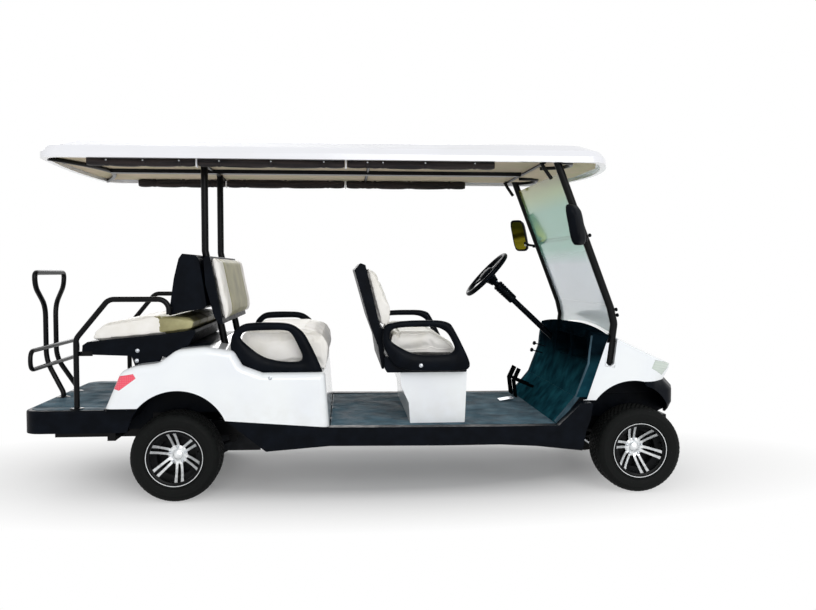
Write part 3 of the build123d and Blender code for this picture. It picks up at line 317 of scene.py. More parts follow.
# %% Floor mat rubber
plain_finish("floor_rubber", (110, 0x2C414C, 0x4D6A78, 0.34, 0.7, 4.0), (4, 0.15, 0.5),
             (120, 0.4, 0.68, 0.5, 0.75, 4.0), IOR=1.52, Specular_IOR_Level=0.15)

# %% [markdown]
# Seat covers are expanded vinyl on foam, cream on the sides and seats. The olive on both forward
# backs and along the rear seat is painted shade, given as a second vinyl finish. Vinyl's grain is
# small pebbles about 1.5 mm across; it is drawn at 3.5 mm so that it shows. A little coat gives the
# wipe-clean sheen.

# %% Sewn vinyl
# The olive finish is painted shade; the cream is the covers' own colour.
for name, pale, deep in (("cream_vinyl", 0xF7F5F1, 0xEBE8E0), ("olive_vinyl", 0xAAA578, 0x857F56)):
    plain_finish(name, (110, pale, deep, 0.35, 0.7, 4.0), (3.5, 0.3, 0.35), rounded=True, Roughness=0.48,
                 IOR=1.46, Coat_Weight=0.12, Coat_Roughness=0.35)

# %% [markdown]
# The windscreen is clear acrylic, about 5 mm thick, with a mint cast that deepens to a yellow-green
# sun band at its top and turns to a pale lavender-grey in the lower pane. The cast follows height.
# Transmission lets the room through, and the tint stays in the base colour.

# %% Tinted acrylic
TINTS = ((0.0, 0xF2FBFC), (0.2, 0xEEF5FB), (0.42, 0xEAF3FA), (0.54, 0xA4DACA),
         (0.8, 0x9CD3BF), (0.9, 0xB0CB92), (1.0, 0xA6A552))
tree, shader, where = start_finish("clear_glass", Roughness=0.12, IOR=1.49, Transmission_Weight=0.6)
ramp = add_node(tree, "ShaderNodeValToRGB", None, {"Fac": by_height(tree, where, 0.87, 1.7)})
stops = ramp.color_ramp.elements
while len(stops) < len(TINTS):
    stops.new(0.5)
for stop, (position, tint) in zip(stops, TINTS):
    stop.position = position
    stop.color = colour(tint)
tree.links.new(ramp.outputs["Color"], shader.inputs["Base Color"])
pebble(tree, shader, where, 150, 0.3, 0.3)

# %% [markdown]
# Lamp lenses are injection-moulded acrylic with small prisms on the back. The grid of light that the
# prisms make is painted: a paler colour on their crests, a deeper one in their troughs. The tail lens is dyed
# red through; the head lens is clear with a faint green cast.

# %% Lamp lenses
LENSES = (("lamp_red", 0xFF8090, 0xEC3E58, 0.0, 0.12), ("lamp_clear", 0xF6FBF4, 0xD2E0D6, 0.2, 0.08))
for name, crest, trough, through, rough in LENSES:
    tree, shader, where = start_finish(name, Roughness=rough, IOR=1.49, Transmission_Weight=through,
                                       Coat_Weight=0.4, Coat_Roughness=0.04)
    prisms = crossed_ripples(tree, where, 9)
    # Painted light: each lens's grid of paler crests and deeper troughs.
    shades = {"data_type": "RGBA", 6: colour(trough), 7: colour(crest)}
    grid = add_node(tree, "ShaderNodeMix", shades, {0: prisms})
    tree.links.new(grid.outputs[2], shader.inputs["Base Color"])
    emboss(tree, shader, prisms, 0.8, 0.4)

# %% [markdown]
# The rain curtains are PVC-coated polyester, rolled up in dark sleeves. Woven threads show through
# the coat as a fine check, drawn here at 5 mm, and the roll leaves lengthwise creases. The creases'
# hollows are painted darker and their ridges paler: painted shade.

# %% Coated curtain fabric
tree, shader, where = start_finish("curtain_fabric", Roughness=0.6, IOR=1.45, Sheen_Weight=0.15,
                                   Specular_IOR_Level=0.3)
drawn_out = add_node(tree, "ShaderNodeMapping", {"Scale": (0.05, 1, 1)}, {"Vector": where})
creased = patchy(tree, drawn_out.outputs["Vector"], 18, 0.35, 0.65)
# Painted shade: the colour darkens where the creases sink in and pales on their ridges.
shades = {"data_type": "RGBA", 6: colour(0x131216), 7: colour(0x332A2A)}
painted_crease_shade = add_node(tree, "ShaderNodeMix", shades, {0: creased})
tree.links.new(painted_crease_shade.outputs[2], shader.inputs["Base Color"])
check = crossed_ripples(tree, where, 5)
folds = add_node(tree, "ShaderNodeMath", {"operation": "MULTIPLY_ADD", 1: 4.0}, {0: creased, 2: check})
emboss(tree, shader, folds.outputs[0], 0.8, 0.6)

# %% [markdown]
# Two more finishes are for pieces that only this file makes. The beige felt that lines the roof is
# matted fibre, dull with a dusting of sheen. The mirrors are silvered glass, and their colour is a
# painted reflection: yellow low down, deepening to a dark olive towards the top.

# %% Headliner felt and silvered glass
plain_finish("roof_felt", (160, 0xD2BA9C, 0xC0B488, 0.35, 0.65), (4, 0.4, 0.5), Roughness=0.92, IOR=1.45,
             Sheen_Weight=0.3)

tree, shader, where = start_finish("mirror_silver", Metallic=1.0, Roughness=0.08)
# Painted reflection: the mirror's colour, yellow below and dark olive at the top.
shades = {"data_type": "RGBA", 6: colour(0xE6DC50), 7: colour(0x5A5E2A)}
painted_reflection = add_node(tree, "ShaderNodeMix", shades, {0: by_height(tree, where, 1.34, 1.47)})
tree.links.new(painted_reflection.outputs[2], shader.inputs["Base Color"])
pebble(tree, shader, where, 60, 0.02)

# %% Give every part its finish
slots = {row["node"]: row["material_slot"] for row in frame["record"]["subparts"]}
for name, obj in nodes.items():
    obj.data.materials.clear()
    obj.data.materials.append(materials[slots[name]])
print("finishes:", len(materials), "on", len(slots), "parts")

# %% [markdown]
# ## Repeats
# A cart is full of things that repeat: tread blocks, wheel nuts, bolts, ribs and snaps. Each is one
# small mesh, copied onto points. Geometry Nodes do that: a tree takes a mesh of points, each with
# the way it faces, and puts a copy on every one. Building the tree once serves them all. Realize
# Instances then makes the copies real, so that one plain mesh is left.

# %% The tree that puts copies on points
SOCKETS = {"Points": "NodeSocketGeometry", "Piece": "NodeSocketObject", "Finish": "NodeSocketMaterial"}


def copies_tree():
    """Copies of one object on a mesh of points, turned so that their Z follows each point's facing."""
    tree = bpy.data.node_groups.new("copies_on_points", "GeometryNodeTree")
    for name, kind in SOCKETS.items():
        tree.interface.new_socket(name, in_out="INPUT", socket_type=kind)
    tree.interface.new_socket("Copies", in_out="OUTPUT", socket_type="NodeSocketGeometry")
    given = add_node(tree, "NodeGroupInput")
    piece = add_node(tree, "GeometryNodeObjectInfo", None, {"Object": given.outputs["Piece"]})
    ways = [add_node(tree, "GeometryNodeInputNamedAttribute", {"data_type": "FLOAT_VECTOR", "Name": name})
            for name in ("facing", "forward")]
    facing, forward = (way.outputs["Attribute"] for way in ways)
    turn = add_node(tree, "FunctionNodeAxesToRotation", {"primary_axis": "Z", "secondary_axis": "X"},
                    {"Primary Axis": facing, "Secondary Axis": forward})
    points = add_node(tree, "GeometryNodeMeshToPoints", None, {"Mesh": given.outputs["Points"]})
    copies = add_node(tree, "GeometryNodeInstanceOnPoints", None,
                      {"Points": points.outputs["Points"], "Instance": piece.outputs["Geometry"],
                       "Rotation": turn.outputs["Rotation"]})
    real = add_node(tree, "GeometryNodeRealizeInstances", None, {"Geometry": copies.outputs["Instances"]})
    finished = add_node(tree, "GeometryNodeSetMaterial", None,
                        {"Geometry": real.outputs["Geometry"], "Material": given.outputs["Finish"]})
    add_node(tree, "NodeGroupOutput", None, {"Copies": finished.outputs["Geometry"]})
    return tree


COPIES = copies_tree()


def put_in_scene(name, mesh):
    """An object at the origin that shows a mesh."""
    thing = bpy.data.objects.new(name, mesh)
    scene.collection.objects.link(thing)
    return thing


def worked_out(thing):
    """The plain mesh that an object has after its modifiers."""
    return bpy.data.meshes.new_from_object(thing.evaluated_get(bpy.context.evaluated_depsgraph_get()))


def new_piece(name, mesh, finish, body="chassis"):
    """A finished piece at the origin, riding on a body."""
    piece = put_in_scene(name, mesh)
    mesh.materials.clear()
    mesh.materials.append(materials[finish])
    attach(piece, body)
    return piece


def copies_on(name, shape, points, finish, body="chassis"):
    """One plain mesh of copies of a shape on points (place, facing, forward)."""
    cloud = bpy.data.meshes.new(name)
    cloud.from_pydata([point[0] for point in points], [], [])
    for index, label in ((1, "facing"), (2, "forward")):
        layer = cloud.attributes.new(label, "FLOAT_VECTOR", "POINT")
        layer.data.foreach_set("vector", [number for point in points for number in point[index]])
    holder, model = put_in_scene(name, cloud), put_in_scene(name + "_shape", shape)
    modifier = holder.modifiers.new("copies", "NODES")
    modifier.node_group = COPIES
    inputs = {item.name: item.identifier for item in COPIES.interface.items_tree if item.in_out == "INPUT"}
    modifier[inputs["Piece"]] = model
    modifier[inputs["Finish"]] = materials[finish]
    mesh = worked_out(holder)
    mesh.name = name
    bpy.data.objects.remove(holder)
    bpy.data.objects.remove(model)
    print(name, len(points), "copies,", len(mesh.polygons), "faces")
    return new_piece(name, mesh, finish, body)


# %% [markdown]
# A few shapes come back often enough to be functions: a solid turned on a lathe, a tube along a
# path, and an outline given a thickness. Each closes its ends and has its normals recalculated.

# %% Turned shapes, tubes and plates
def soften(mesh, sharp_degrees=38):
    """Smooth shading, apart from edges that bend by more than an angle."""
    mesh.shade_smooth()
    mesh.set_sharp_from_angle(angle=math.radians(sharp_degrees))
    return mesh


def edited(mesh, change):
    """The mesh after a change was made to it as a bmesh."""
    shape = bmesh.new()
    shape.from_mesh(mesh)
    change(shape)
    shape.to_mesh(mesh)
    shape.free()
    return mesh


def mesh_from(name, points, faces, smooth=False):
    """A mesh with its doubles merged and its faces outwards."""
    shape = bmesh.new()
    verts = [shape.verts.new(point) for point in points]
    for face in faces:
        if len(set(face)) > 2:
            shape.faces.new([verts[index] for index in face])
    bmesh.ops.remove_doubles(shape, verts=shape.verts, dist=1e-6)
    bmesh.ops.recalc_face_normals(shape, faces=shape.faces)
    mesh = bpy.data.meshes.new(name)
    shape.to_mesh(mesh)
    shape.free()
    return soften(mesh) if smooth else mesh


def band_of_faces(first, second, count):
    """Faces between two closed rings of points, each given by the number of its first point."""
    pairs = [(i, (i + 1) % count) for i in range(count)]
    return [(first + i, first + after, second + after, second + i) for i, after in pairs]


def turned(name, profile, steps, smooth=True):
    """Lathe shape about Z from a closed or pole-to-pole profile of (radius, height) in millimetres."""
    points, faces, count = [], [], len(profile)
    for step in range(steps):
        angle = 2 * math.pi * step / steps
        points += [(r * MM * math.cos(angle), r * MM * math.sin(angle), h * MM) for r, h in profile]
    closed = profile[0][0] > 0
    for step in range(steps):
        a, b = step * count, (step + 1) % steps * count
        for index in range(count if closed else count - 1):
            after = (index + 1) % count
            faces.append((a + index, a + after, b + after, b + index))
    return mesh_from(name, points, faces, smooth)


def tube_along(name, path, radius_mm, sides=12, closed=False):
    """Round tube along a list of points in metres, its ends capped."""
    points, faces, count = [], [], len(path)
    normal = None
    for index, point in enumerate(path):
        before = path[index - 1] if index or closed else path[0]
        after = path[(index + 1) % count] if index < count - 1 or closed else path[-1]
        axis = (Vector(after) - Vector(before)).normalized()
        if normal is None:
            normal = axis.orthogonal().normalized()
        normal = (normal - axis * normal.dot(axis)).normalized()
        side = axis.cross(normal)
        for step in range(sides):
            angle = 2 * math.pi * step / sides
            out = normal * math.cos(angle) + side * math.sin(angle)
            points.append(Vector(point) + out * radius_mm * MM)
    for ring in range(count if closed else count - 1):
        faces += band_of_faces(ring * sides, (ring + 1) % count * sides, sides)
    if not closed:
        faces += [tuple(range(sides)), tuple(range((count - 1) * sides, count * sides))]
    return mesh_from(name, points, faces, True)


def plate(name, outline, y0, y1, bevel_mm=0.0):
    """Side outline of (x, z) points in metres, as thick as y0 to y1, with rounded edges."""
    count = len(outline)
    points = [(x, y, z) for y in (y0, y1) for x, z in outline]
    faces = [tuple(range(count)), tuple(range(count, 2 * count))] + band_of_faces(0, count, count)
    mesh = mesh_from(name, points, faces)
    if not bevel_mm:
        return mesh
    rounding = {"offset": bevel_mm * MM, "segments": 2, "affect": "EDGES", "profile": 0.7}
    return soften(edited(mesh, lambda shape: bmesh.ops.bevel(shape, geom=shape.edges, **rounding)), 50)


def joined(name, meshes):
    """Several meshes as one."""
    shape = bmesh.new()
    for mesh in meshes:
        shape.from_mesh(mesh)
    whole = bpy.data.meshes.new(name)
    shape.to_mesh(whole)
    shape.free()
    return soften(whole)


# %% [markdown]
# ## Tyres
# A turf tyre has a shallow block tread, so that it doesn't tear the grass: six rows of small
# blocks round the belt and a row of lugs on each shoulder. The carcass is turned on a lathe a few
# millimetres under the full size, and the tree above sets the blocks on it, so the blocks reach the
# real diameter. The sidewall gets raised rings, as moulds leave.

# %% Turf tyres with a block tread
TYRE_RADIUS = AXLE_Z / MM
HALF_TYRE = (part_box("tyre_rear_left")[1].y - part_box("tyre_rear_left")[0].y) / 2 / MM
TREAD_DEPTH, TREAD_ROOT = 5, 1.5
BLOCK_LONG, BLOCK_WIDE, BLOCK_HIGH = 17.5, 20.5, 4.6
BLOCKS_ROUND = 58
# Each row: its distance from the tyre's middle, and its shift along the tyre in parts of a block.
BLOCK_ROWS = ((-66, 0.0), (-40, 0.5), (-13.5, 0.0), (13.5, 0.5), (40, 0.0), (66, 0.5))
# The outer rows lie a little lower and lean outwards, and the lugs lean out past 45 degrees.
OUTER_ROW, OUTER_DROP, OUTER_LEAN = 60, 3.2, 0.16
LUG_DROP, LUG_INSET, LUG_SHIFT, LUG_LEAN = 17, 16, 0.25, 1.1


def carcass_profile():
    """Closed section of the tyre, (radius, width) in millimetres."""
    r, h = TYRE_RADIUS - TREAD_DEPTH, HALF_TYRE
    outer = [(127.5, h - 15), (147, h - 7), (151, h - 6), (153, h - 3.2), (157, h - 3.2), (159, h - 4.6),
             (171, h - 1.2), (180, h - 0.4), (190, h - 1), (193, h - 0.2), (196, h - 0.2), (199, h - 2.5),
             (208, h - 6), (r - 9, h - 12), (r - 3, h - 20), (r, h - 33)]
    inner = [(r - 9, h - 38), (181, h - 12), (141, h - 18), (127.5, h - 34)]
    side = outer + [(radius, -width) for radius, width in reversed(outer)]
    return side + [(radius, -width) for radius, width in reversed(inner)] + inner


def tread_block():
    """One block, its top a little smaller than its foot, the long side along the tyre."""
    long, wide, high = BLOCK_LONG * MM / 2, BLOCK_WIDE * MM / 2, BLOCK_HIGH * MM
    foot = [(x * long, y * wide, -TREAD_ROOT * MM) for x, y in ((-1, -1), (1, -1), (1, 1), (-1, 1))]
    top = [(x * long, y * wide, high)
           for x, y in ((-0.86, -0.602), (0.86, -0.86), (0.86, 0.602), (-0.86, 0.86))]
    return mesh_from("tread_block", foot + top, [(0, 1, 2, 3), (4, 5, 6, 7)] + band_of_faces(0, 4, 4))


def tread_spots(centre):
    """Where every block and lug of a tyre sits, which way it faces, and the way along the tyre."""
    spots = []
    for width, shift in BLOCK_ROWS:
        outer = abs(width) > OUTER_ROW
        drop, lean = (OUTER_DROP, math.copysign(OUTER_LEAN, width)) if outer else (0.0, 0.0)
        for number in range(BLOCKS_ROUND):
            out, along = round_axle(number + shift, BLOCKS_ROUND)
            spot = centre + out * ((TYRE_RADIUS - TREAD_DEPTH - drop) * MM) + LEFT * width * MM
            spots.append((spot, (out + LEFT * lean).normalized(), along))
    for edge in (-1, 1):
        for number in range(BLOCKS_ROUND):
            out, along = round_axle(number + LUG_SHIFT, BLOCKS_ROUND)
            spot = centre + out * (TYRE_RADIUS - LUG_DROP) * MM + LEFT * (HALF_TYRE - LUG_INSET) * edge * MM
            spots.append((spot, (out + LEFT * LUG_LEAN * edge).normalized(), along))
    return spots


carcass = turned("carcass", carcass_profile(), 96)
for corner in CORNERS:
    low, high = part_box("tyre_" + corner)
    centre = Vector((AXLE_X[corner.split("_")[0]], (low.y + high.y) / 2, AXLE_Z))
    mesh = carcass.copy()
    mesh.transform(Matrix.Translation(centre) @ Matrix.Rotation(math.radians(90), 4, "X"))
    tyre = new_piece("tyre_carcass_" + corner, mesh, "tyre_rubber", "wheel_" + corner)
    copies_on("tread_" + corner, tread_block(), tread_spots(centre), "tyre_rubber", "wheel_" + corner)
    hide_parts("tyre_" + corner)

# %% [markdown]
# ## Wheels
# A cast alloy wheel is a barrel that the tyre sits on, a hub deep inside, and spokes that sweep out
# from one to the other. Six pairs of spokes are the same shape turned round the axle, so the tree
# copies them: black castings first, then a thin bright face on each, as the lathe leaves it. The
# spokes run steeply outwards, which is what makes the wheel look deep.

# %% Barrel, hub and lip
# A spoke's middle line as (radius, width), then how far its pair stands apart and its half width.
SPOKE_LINE = [(34, 3), (52, 7), (70, 20), (88, 36), (106, 54), (124, 75), (139.5, 95)]
SPOKE_SPREAD = [7, 12, 13.5, 14.5, 15.5, 16.5, 17]
SPOKE_HALF = [9, 7.2, 6.6, 6.6, 7, 8, 10]
SPOKE_PAIRS = 6
FIRST_SPOKE = {"front": 46, "rear": 39}
barrel_shape = turned("barrel", [
    (144, 99.9), (144, 95), (127, 89), (127, 60), (105, 48), (105, -48), (127, -60), (127, -89), (144, -95),
    (144, -100), (124, -100), (121, -60), (99, -46), (99, 44), (120, 58), (134, 86), (137.5, 97)], 72)
lip_shape = turned("lip", [(144, 100), (144, 97), (142.5, 96.4), (141, 96.8), (141, 99.2), (142, 100)], 96)
# A black ring inside the barrel, behind the spokes, is painted shade: it stands in for the dark deep in the
# wheel.
shade_disc_shape = turned("well", [(52, -14), (99.4, -14), (99.4, -8), (52, -8)], 72)
hub_shape = turned("hub", [(0, -50), (40, -50), (58, -30), (56, -6), (50, 1), (0, 1)], 48)
hub_face_shape = turned("hub_face", [(0, 0.5), (49, 0.5), (50, 2.5), (48, 4), (31, 4.6), (29, 2), (0, 2)], 48)


def spoke(side, lift, narrow, deep):
    """One spoke of a pair: its section is carried along the line from the hub to the lip."""
    points, faces, rings = [], [], len(SPOKE_LINE)
    for index, (radius, width) in enumerate(SPOKE_LINE):
        before, after = SPOKE_LINE[max(index - 1, 0)], SPOKE_LINE[min(index + 1, rings - 1)]
        along = Vector((after[0] - before[0], after[1] - before[1])).normalized()
        out = Vector((-along.y, along.x))
        half = SPOKE_HALF[index] * narrow
        for offset, share in ((lift, 1.0), (lift - deep, 0.8)):
            spot = Vector((radius, width)) + out * offset
            for edge in ((-half, half) if offset == lift else (half, -half)):
                points.append((spot.x * MM, (side * SPOKE_SPREAD[index] + edge * share) * MM, spot.y * MM))
    for ring in range(rings - 1):
        faces += band_of_faces(ring * 4, ring * 4 + 4, 4)
    return points, faces + [(0, 1, 2, 3), tuple(range(rings * 4 - 4, rings * 4))]


def spoke_pair(name, lift, narrow, deep):
    """Both spokes of a pair as one shape, pointing along X with the axle along Z."""
    left, left_faces = spoke(1, lift, narrow, deep)
    right, right_faces = spoke(-1, lift, narrow, deep)
    right_faces = [tuple(i + len(left) for i in face) for face in right_faces]
    return mesh_from(name, left + right, left_faces + right_faces)


spoke_casting = spoke_pair("spoke_casting", 0, 1.0, 9)
spoke_face = spoke_pair("spoke_face", 1.2, 0.94, 1.4)
print("spoke pair:", len(spoke_casting.polygons) + len(spoke_face.polygons), "faces")

# %% [markdown]
# Each wheel is held by five nuts in the hub, has a domed cap over the axle's end, and a short rubber
# valve near the rim. The nuts are hexagons with a chamfered top, and the cap is turned.

# %% Put the wheels together
NUTS, NUT_CIRCLE = 5, 41
NUT_LIFT, CAP_LIFT = 0.004, 0.003
VALVE_AT = (0.112, 0.064, 0.028)
nut_shape = turned("nut", [(0, -1), (7.5, -1), (7.5, 6), (5.5, 9), (0, 10)], 6, False)
cap_shape = turned("cap", [(0, -3), (25, -3), (26, 2), (24, 8), (16, 12), (7, 13.6), (0, 14)], 32)
valve_shape = turned("valve", [(0, -2), (5.5, -2), (5, 8), (3.4, 12), (3.4, 26), (2.6, 28), (0, 28)], 12)
TURNINGS = {"wheel_barrel_": (barrel_shape, "painted_alloy"), "wheel_lip_": (lip_shape, "machined_alloy"),
            "wheel_hub_": (hub_shape, "painted_alloy"), "wheel_well_": (shade_disc_shape, "painted_alloy"),
            "wheel_hub_face_": (hub_face_shape, "machined_alloy")}
for corner in CORNERS:
    axle, side = corner.split("_")
    body = "wheel_" + corner
    low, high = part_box("rim_" + corner)
    centre = (low + high) / 2
    out = LEFT * (1 if side == "left" else -1)
    upright = Matrix.Translation(centre) @ UP.rotation_difference(out).to_matrix().to_4x4()
    for name, (shape, finish) in TURNINGS.items():
        mesh = shape.copy()
        mesh.transform(upright)
        piece = new_piece(name + corner, mesh, finish, body)
        if shape is barrel_shape:
            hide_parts("rim_" + corner)
    spots, nuts = [], []
    for number in range(SPOKE_PAIRS):
        angle = math.radians(FIRST_SPOKE[axle] + 360 / SPOKE_PAIRS * number)
        spots.append((centre, out, Vector((math.cos(angle), 0, math.sin(angle)))))
    for number in range(NUTS):
        around, _ = round_axle(number + 0.25, NUTS)
        nuts.append((centre + around * NUT_CIRCLE * MM + out * NUT_LIFT, out, around))
    copies_on("spoke_castings_" + corner, spoke_casting, spots, "painted_alloy", body)
    copies_on("spoke_faces_" + corner, spoke_face, spots, "machined_alloy", body)
    copies_on("wheel_nuts_" + corner, nut_shape, nuts, "bare_steel", body)
    cap = centre + out * CAP_LIFT
    copies_on("hub_cap_" + corner, cap_shape, [(cap, out, FORWARD)], "machined_alloy", body)
    stem = centre + out * VALVE_AT[1] + Vector((VALVE_AT[0], 0, VALVE_AT[2]))
    copies_on("valve_" + corner, valve_shape, [(stem, out, FORWARD)], "tyre_rubber", body)

# %% [markdown]
# ## Seats
# Each cushion is cut foam in a sewn vinyl cover: full in the middle, pulled in along its seams. The
# frame holds it as a plain block. A copy of that block is remeshed evenly, drawn in a little, and
# blown up as cloth with the air pressure of the foam behind it. Every point may move only a set
# distance, so the cover tightens over its edges without leaving the room it has. The sewn channels
# are pressed in afterwards, because the even mesh would have lost them.

# %% Foam cushions
VOXEL_SIZE = 9
DRAWN_IN = 7
CLOTH_STEPS = 16
CLOTH_REACH = 12
SEAM_DEPTH, SEAM_HALF_WIDTH = 7, 7


def merge_seams(shape):
    """Joins the faces of a part where its mesh is split along its edges."""
    bmesh.ops.remove_doubles(shape, verts=shape.verts, dist=1e-5)


def draw_in(shape):
    """Moves every point inwards, then evens the surface out."""
    shape.normal_update()
    for vert in shape.verts:
        vert.co -= vert.normal * DRAWN_IN * MM
    every_way = {"use_axis_x": True, "use_axis_y": True, "use_axis_z": True}
    for _ in range(3):
        bmesh.ops.smooth_vert(shape, verts=shape.verts, factor=0.5, **every_way)


def smooth_block(node):
    """A merged, evenly meshed copy of a part, drawn in a little on every side."""
    pad = put_in_scene("pad_" + node, edited(nodes[node].data.copy(), merge_seams))
    remesh = pad.modifiers.new("even", "REMESH")
    remesh.mode = "VOXEL"
    remesh.voxel_size = VOXEL_SIZE * MM
    even = worked_out(pad)
    pad.modifiers.clear()
    pad.data = edited(even, draw_in)
    return pad


def inflate(pad):
    """Cloth under pressure for a few frames, each point held within reach of where it began."""
    start = [vert.co.copy() for vert in pad.data.vertices]
    cloth = pad.modifiers.new("cover", "CLOTH")
    cloth.settings.use_pressure = True
    cloth.settings.uniform_pressure_force = 4.0
    cloth.settings.effector_weights.gravity = 0.0
    cloth.settings.quality = 4
    cloth.settings.tension_stiffness = 20
    cloth.settings.compression_stiffness = 20
    cloth.settings.bending_stiffness = 2
    cloth.point_cache.frame_start, cloth.point_cache.frame_end = 1, CLOTH_STEPS
    for step in range(1, CLOTH_STEPS + 1):
        scene.frame_set(step)
    blown = worked_out(pad)
    pad.modifiers.clear()
    for index, vert in enumerate(blown.vertices):
        move = vert.co - start[index]
        if move.length > CLOTH_REACH * MM:
            vert.co = start[index] + move.normalized() * CLOTH_REACH * MM
    pad.data = blown
    scene.frame_set(1)


def channel(point, normal, rule):
    """How deep a sewn line presses a point in. The rule gives the distance to the line, or None."""
    distance = rule(point, normal)
    if distance is None:
        return 0.0
    share = distance / (SEAM_HALF_WIDTH * MM)
    return SEAM_DEPTH * MM * math.exp(-share * share)


def sew(pad, rules):
    """One subdivision, then all the channels."""
    finer = pad.modifiers.new("finer", "SUBSURF")
    finer.levels = finer.render_levels = 1
    mesh = worked_out(pad)
    pad.modifiers.clear()
    normals = [vert.normal.copy() for vert in mesh.vertices]
    for vert, normal in zip(mesh.vertices, normals):
        vert.co -= normal * max(channel(vert.co, normal, rule) for rule in rules)
    mesh.shade_smooth()
    pad.data = mesh


# %% [markdown]
# Three seams part a cover into places, one or two run from side to side, and a border seam lies
# near each end. The second bench's back has the border alone. A rule for a seam answers one
# question: how far is this point of the cover from the line?

# %% Where the seams run
def lengthwise(*y_mm):
    """Seams at these distances from the middle, on every face but the ends."""
    def rule(point, normal):
        if abs(normal.y) > 0.6:
            return None
        return min(abs(abs(point.y) - y * MM) for y in y_mm)
    return rule


def border(node, inset_mm, axis):
    """A seam near each end of the face that looks along an axis, at an inset from the end."""
    low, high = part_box(node)
    def rule(point, normal):
        if normal.dot(axis) < 0.3:
            return None
        return min(abs(point.y - low.y - inset_mm * MM), abs(high.y - inset_mm * MM - point.y))
    return rule


def crosswise(axle, x_mm):
    """A seam from side to side on the sitting face, at a place along the cart."""
    def rule(point, normal):
        if normal.z < 0.5:
            return None
        return abs(point.x - place(axle, x_mm, 0, 0).x)
    return rule


def level(z_mm, axis):
    """A seam from side to side on a back, at a height."""
    def rule(point, normal):
        if normal.dot(axis) < 0.4:
            return None
        return abs(point.z - z_mm * MM)
    return rule


# Each pad: its part, its body, the way its sitting face looks, its border's inset, the distances of
# its lengthwise seams from the middle, and its seams from side to side.
PADS = [
    ("row1_cushion", "front_seat_lid", UP, 42, (0, 245), [crosswise("front", -1275)]),
    ("row1_back", "chassis", FORWARD, 42, (0, 245), [level(1130, FORWARD), level(945, FORWARD)]),
    ("row2_cushion", "chassis", UP, 42, (0, 245), [crosswise("rear", 372)]),
    ("row2_back", "chassis", FORWARD, 140, (), []),
    ("rear_seat_cushion", "chassis", UP, 42, (0, 245), [crosswise("rear", -90)]),
    ("rear_seat_back", "chassis", BACKWARD, 40, (0, 245), [level(1195, BACKWARD)])]

# %% [markdown]
# The piping is a cord sewn round each end of a cushion. It is laid on the finished cover: rays
# towards the pad's middle find the cover's surface, and a thin tube is drawn through the places
# they hit. A cover whose ends drew in past the cord's line gets no cord.
#
# The olive painted shade is no mesh of its own. The cover's faces take a second material where
# they look the shaded way and lie inside its edges.

# %% Blow up, sew and pipe every pad
CORD_RADIUS, CORD_INSET, CORD_POINTS, FEWEST_HITS = 2.6, 17, 72, 20
RAY_START = 0.6
# How far from its ends a back's olive painted shade begins, and where the rear seat's begins, in metres.
SHADE_MARGIN = {"row1_back": 0.06, "row2_back": 0.14}
REAR_SHADE_X, REAR_SHADE_LEAN = place("rear", -92, 0, 0).x, 0.03


def piping(pad, node):
    """A thin cord round both ends of a pad, following its cover, or None where it would float."""
    corners = [vert.co for vert in pad.data.vertices]
    surface = BVHTree.FromPolygons(corners, [tuple(face.vertices) for face in pad.data.polygons])
    low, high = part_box(node)
    middle = (low + high) / 2
    loops = []
    for y in (low.y + CORD_INSET * MM, high.y - CORD_INSET * MM):
        path = []
        for number in range(CORD_POINTS):
            way, _ = round_axle(number, CORD_POINTS)
            hit, *_ = surface.ray_cast(Vector((middle.x, y, middle.z)) + way * RAY_START, -way)
            if hit is not None:
                path.append(hit)
        if len(path) > FEWEST_HITS:
            loops.append(tube_along("piping", path, CORD_RADIUS, 8, True))
    return joined("piping_" + node, loops) if loops else None


def in_painted_shade(node, face, polygon, low, high):
    """Whether a face of a cover gets the olive painted shade."""
    if node == "rear_seat_cushion":
        return polygon.center.x > REAR_SHADE_X - polygon.normal.z * REAR_SHADE_LEAN
    ends = min(polygon.center.y - low.y, high.y - polygon.center.y)
    return node in SHADE_MARGIN and polygon.normal.dot(face) > 0.45 and ends > SHADE_MARGIN[node]


for node, body, face, inset, lengths, crossings in PADS:
    pad = smooth_block(node)
    inflate(pad)
    seams = [border(node, inset, face)] + crossings
    if lengths:
        seams.append(lengthwise(*lengths))
    sew(pad, seams)
    low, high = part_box(node)
    for vert in pad.data.vertices:
        vert.co = [min(max(vert.co[axis], low[axis]), high[axis]) for axis in range(3)]
    # Faces in the painted shade take the olive finish, and the rest stay cream.
    pad.data.materials.clear()
    for finish in ("cream_vinyl", "olive_vinyl"):
        pad.data.materials.append(materials[finish])
    for polygon in pad.data.polygons:
        polygon.material_index = int(in_painted_shade(node, face, polygon, low, high))
    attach(pad, body)
    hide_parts(node)
    cord = piping(pad, node)
    if cord is not None:
        new_piece(cord.name, cord, "cream_vinyl", body)
    print(pad.name, len(pad.data.polygons), "faces")

# %% [markdown]
# ## Shapes drawn as rings
# A curtain roll, a mirror's shell, a fender and a filler plate are all the same idea: an outline
# that is carried from one end to the other while it grows, shrinks or bends. One function joins a
# list of such rings and closes both ends.

# %% Rings joined into a skin
def skin(name, rings, smooth=True):
    """Closed skin through rings of points, all with the same number of points."""
    count = len(rings[0])
    points = [point for ring in rings for point in ring]
    faces = [tuple(range(count)), tuple(range(len(points) - count, len(points)))]
    for start in range(0, len(points) - count, count):
        faces += band_of_faces(start, start + count, count)
    return mesh_from(name, points, faces, smooth)


def rounded(half_wide, half_high, count, square=4.0):
    """Points of a rounded rectangle about zero, in millimetres. A larger square is more boxy."""
    ring = []
    for step in range(count):
        angle = 2 * math.pi * (step + 0.5) / count
        c, s = math.cos(angle), math.sin(angle)
        reach = (abs(c) ** square + abs(s) ** square) ** (-1 / square)
        ring.append((half_wide * c * reach, half_high * s * reach))
    return ring


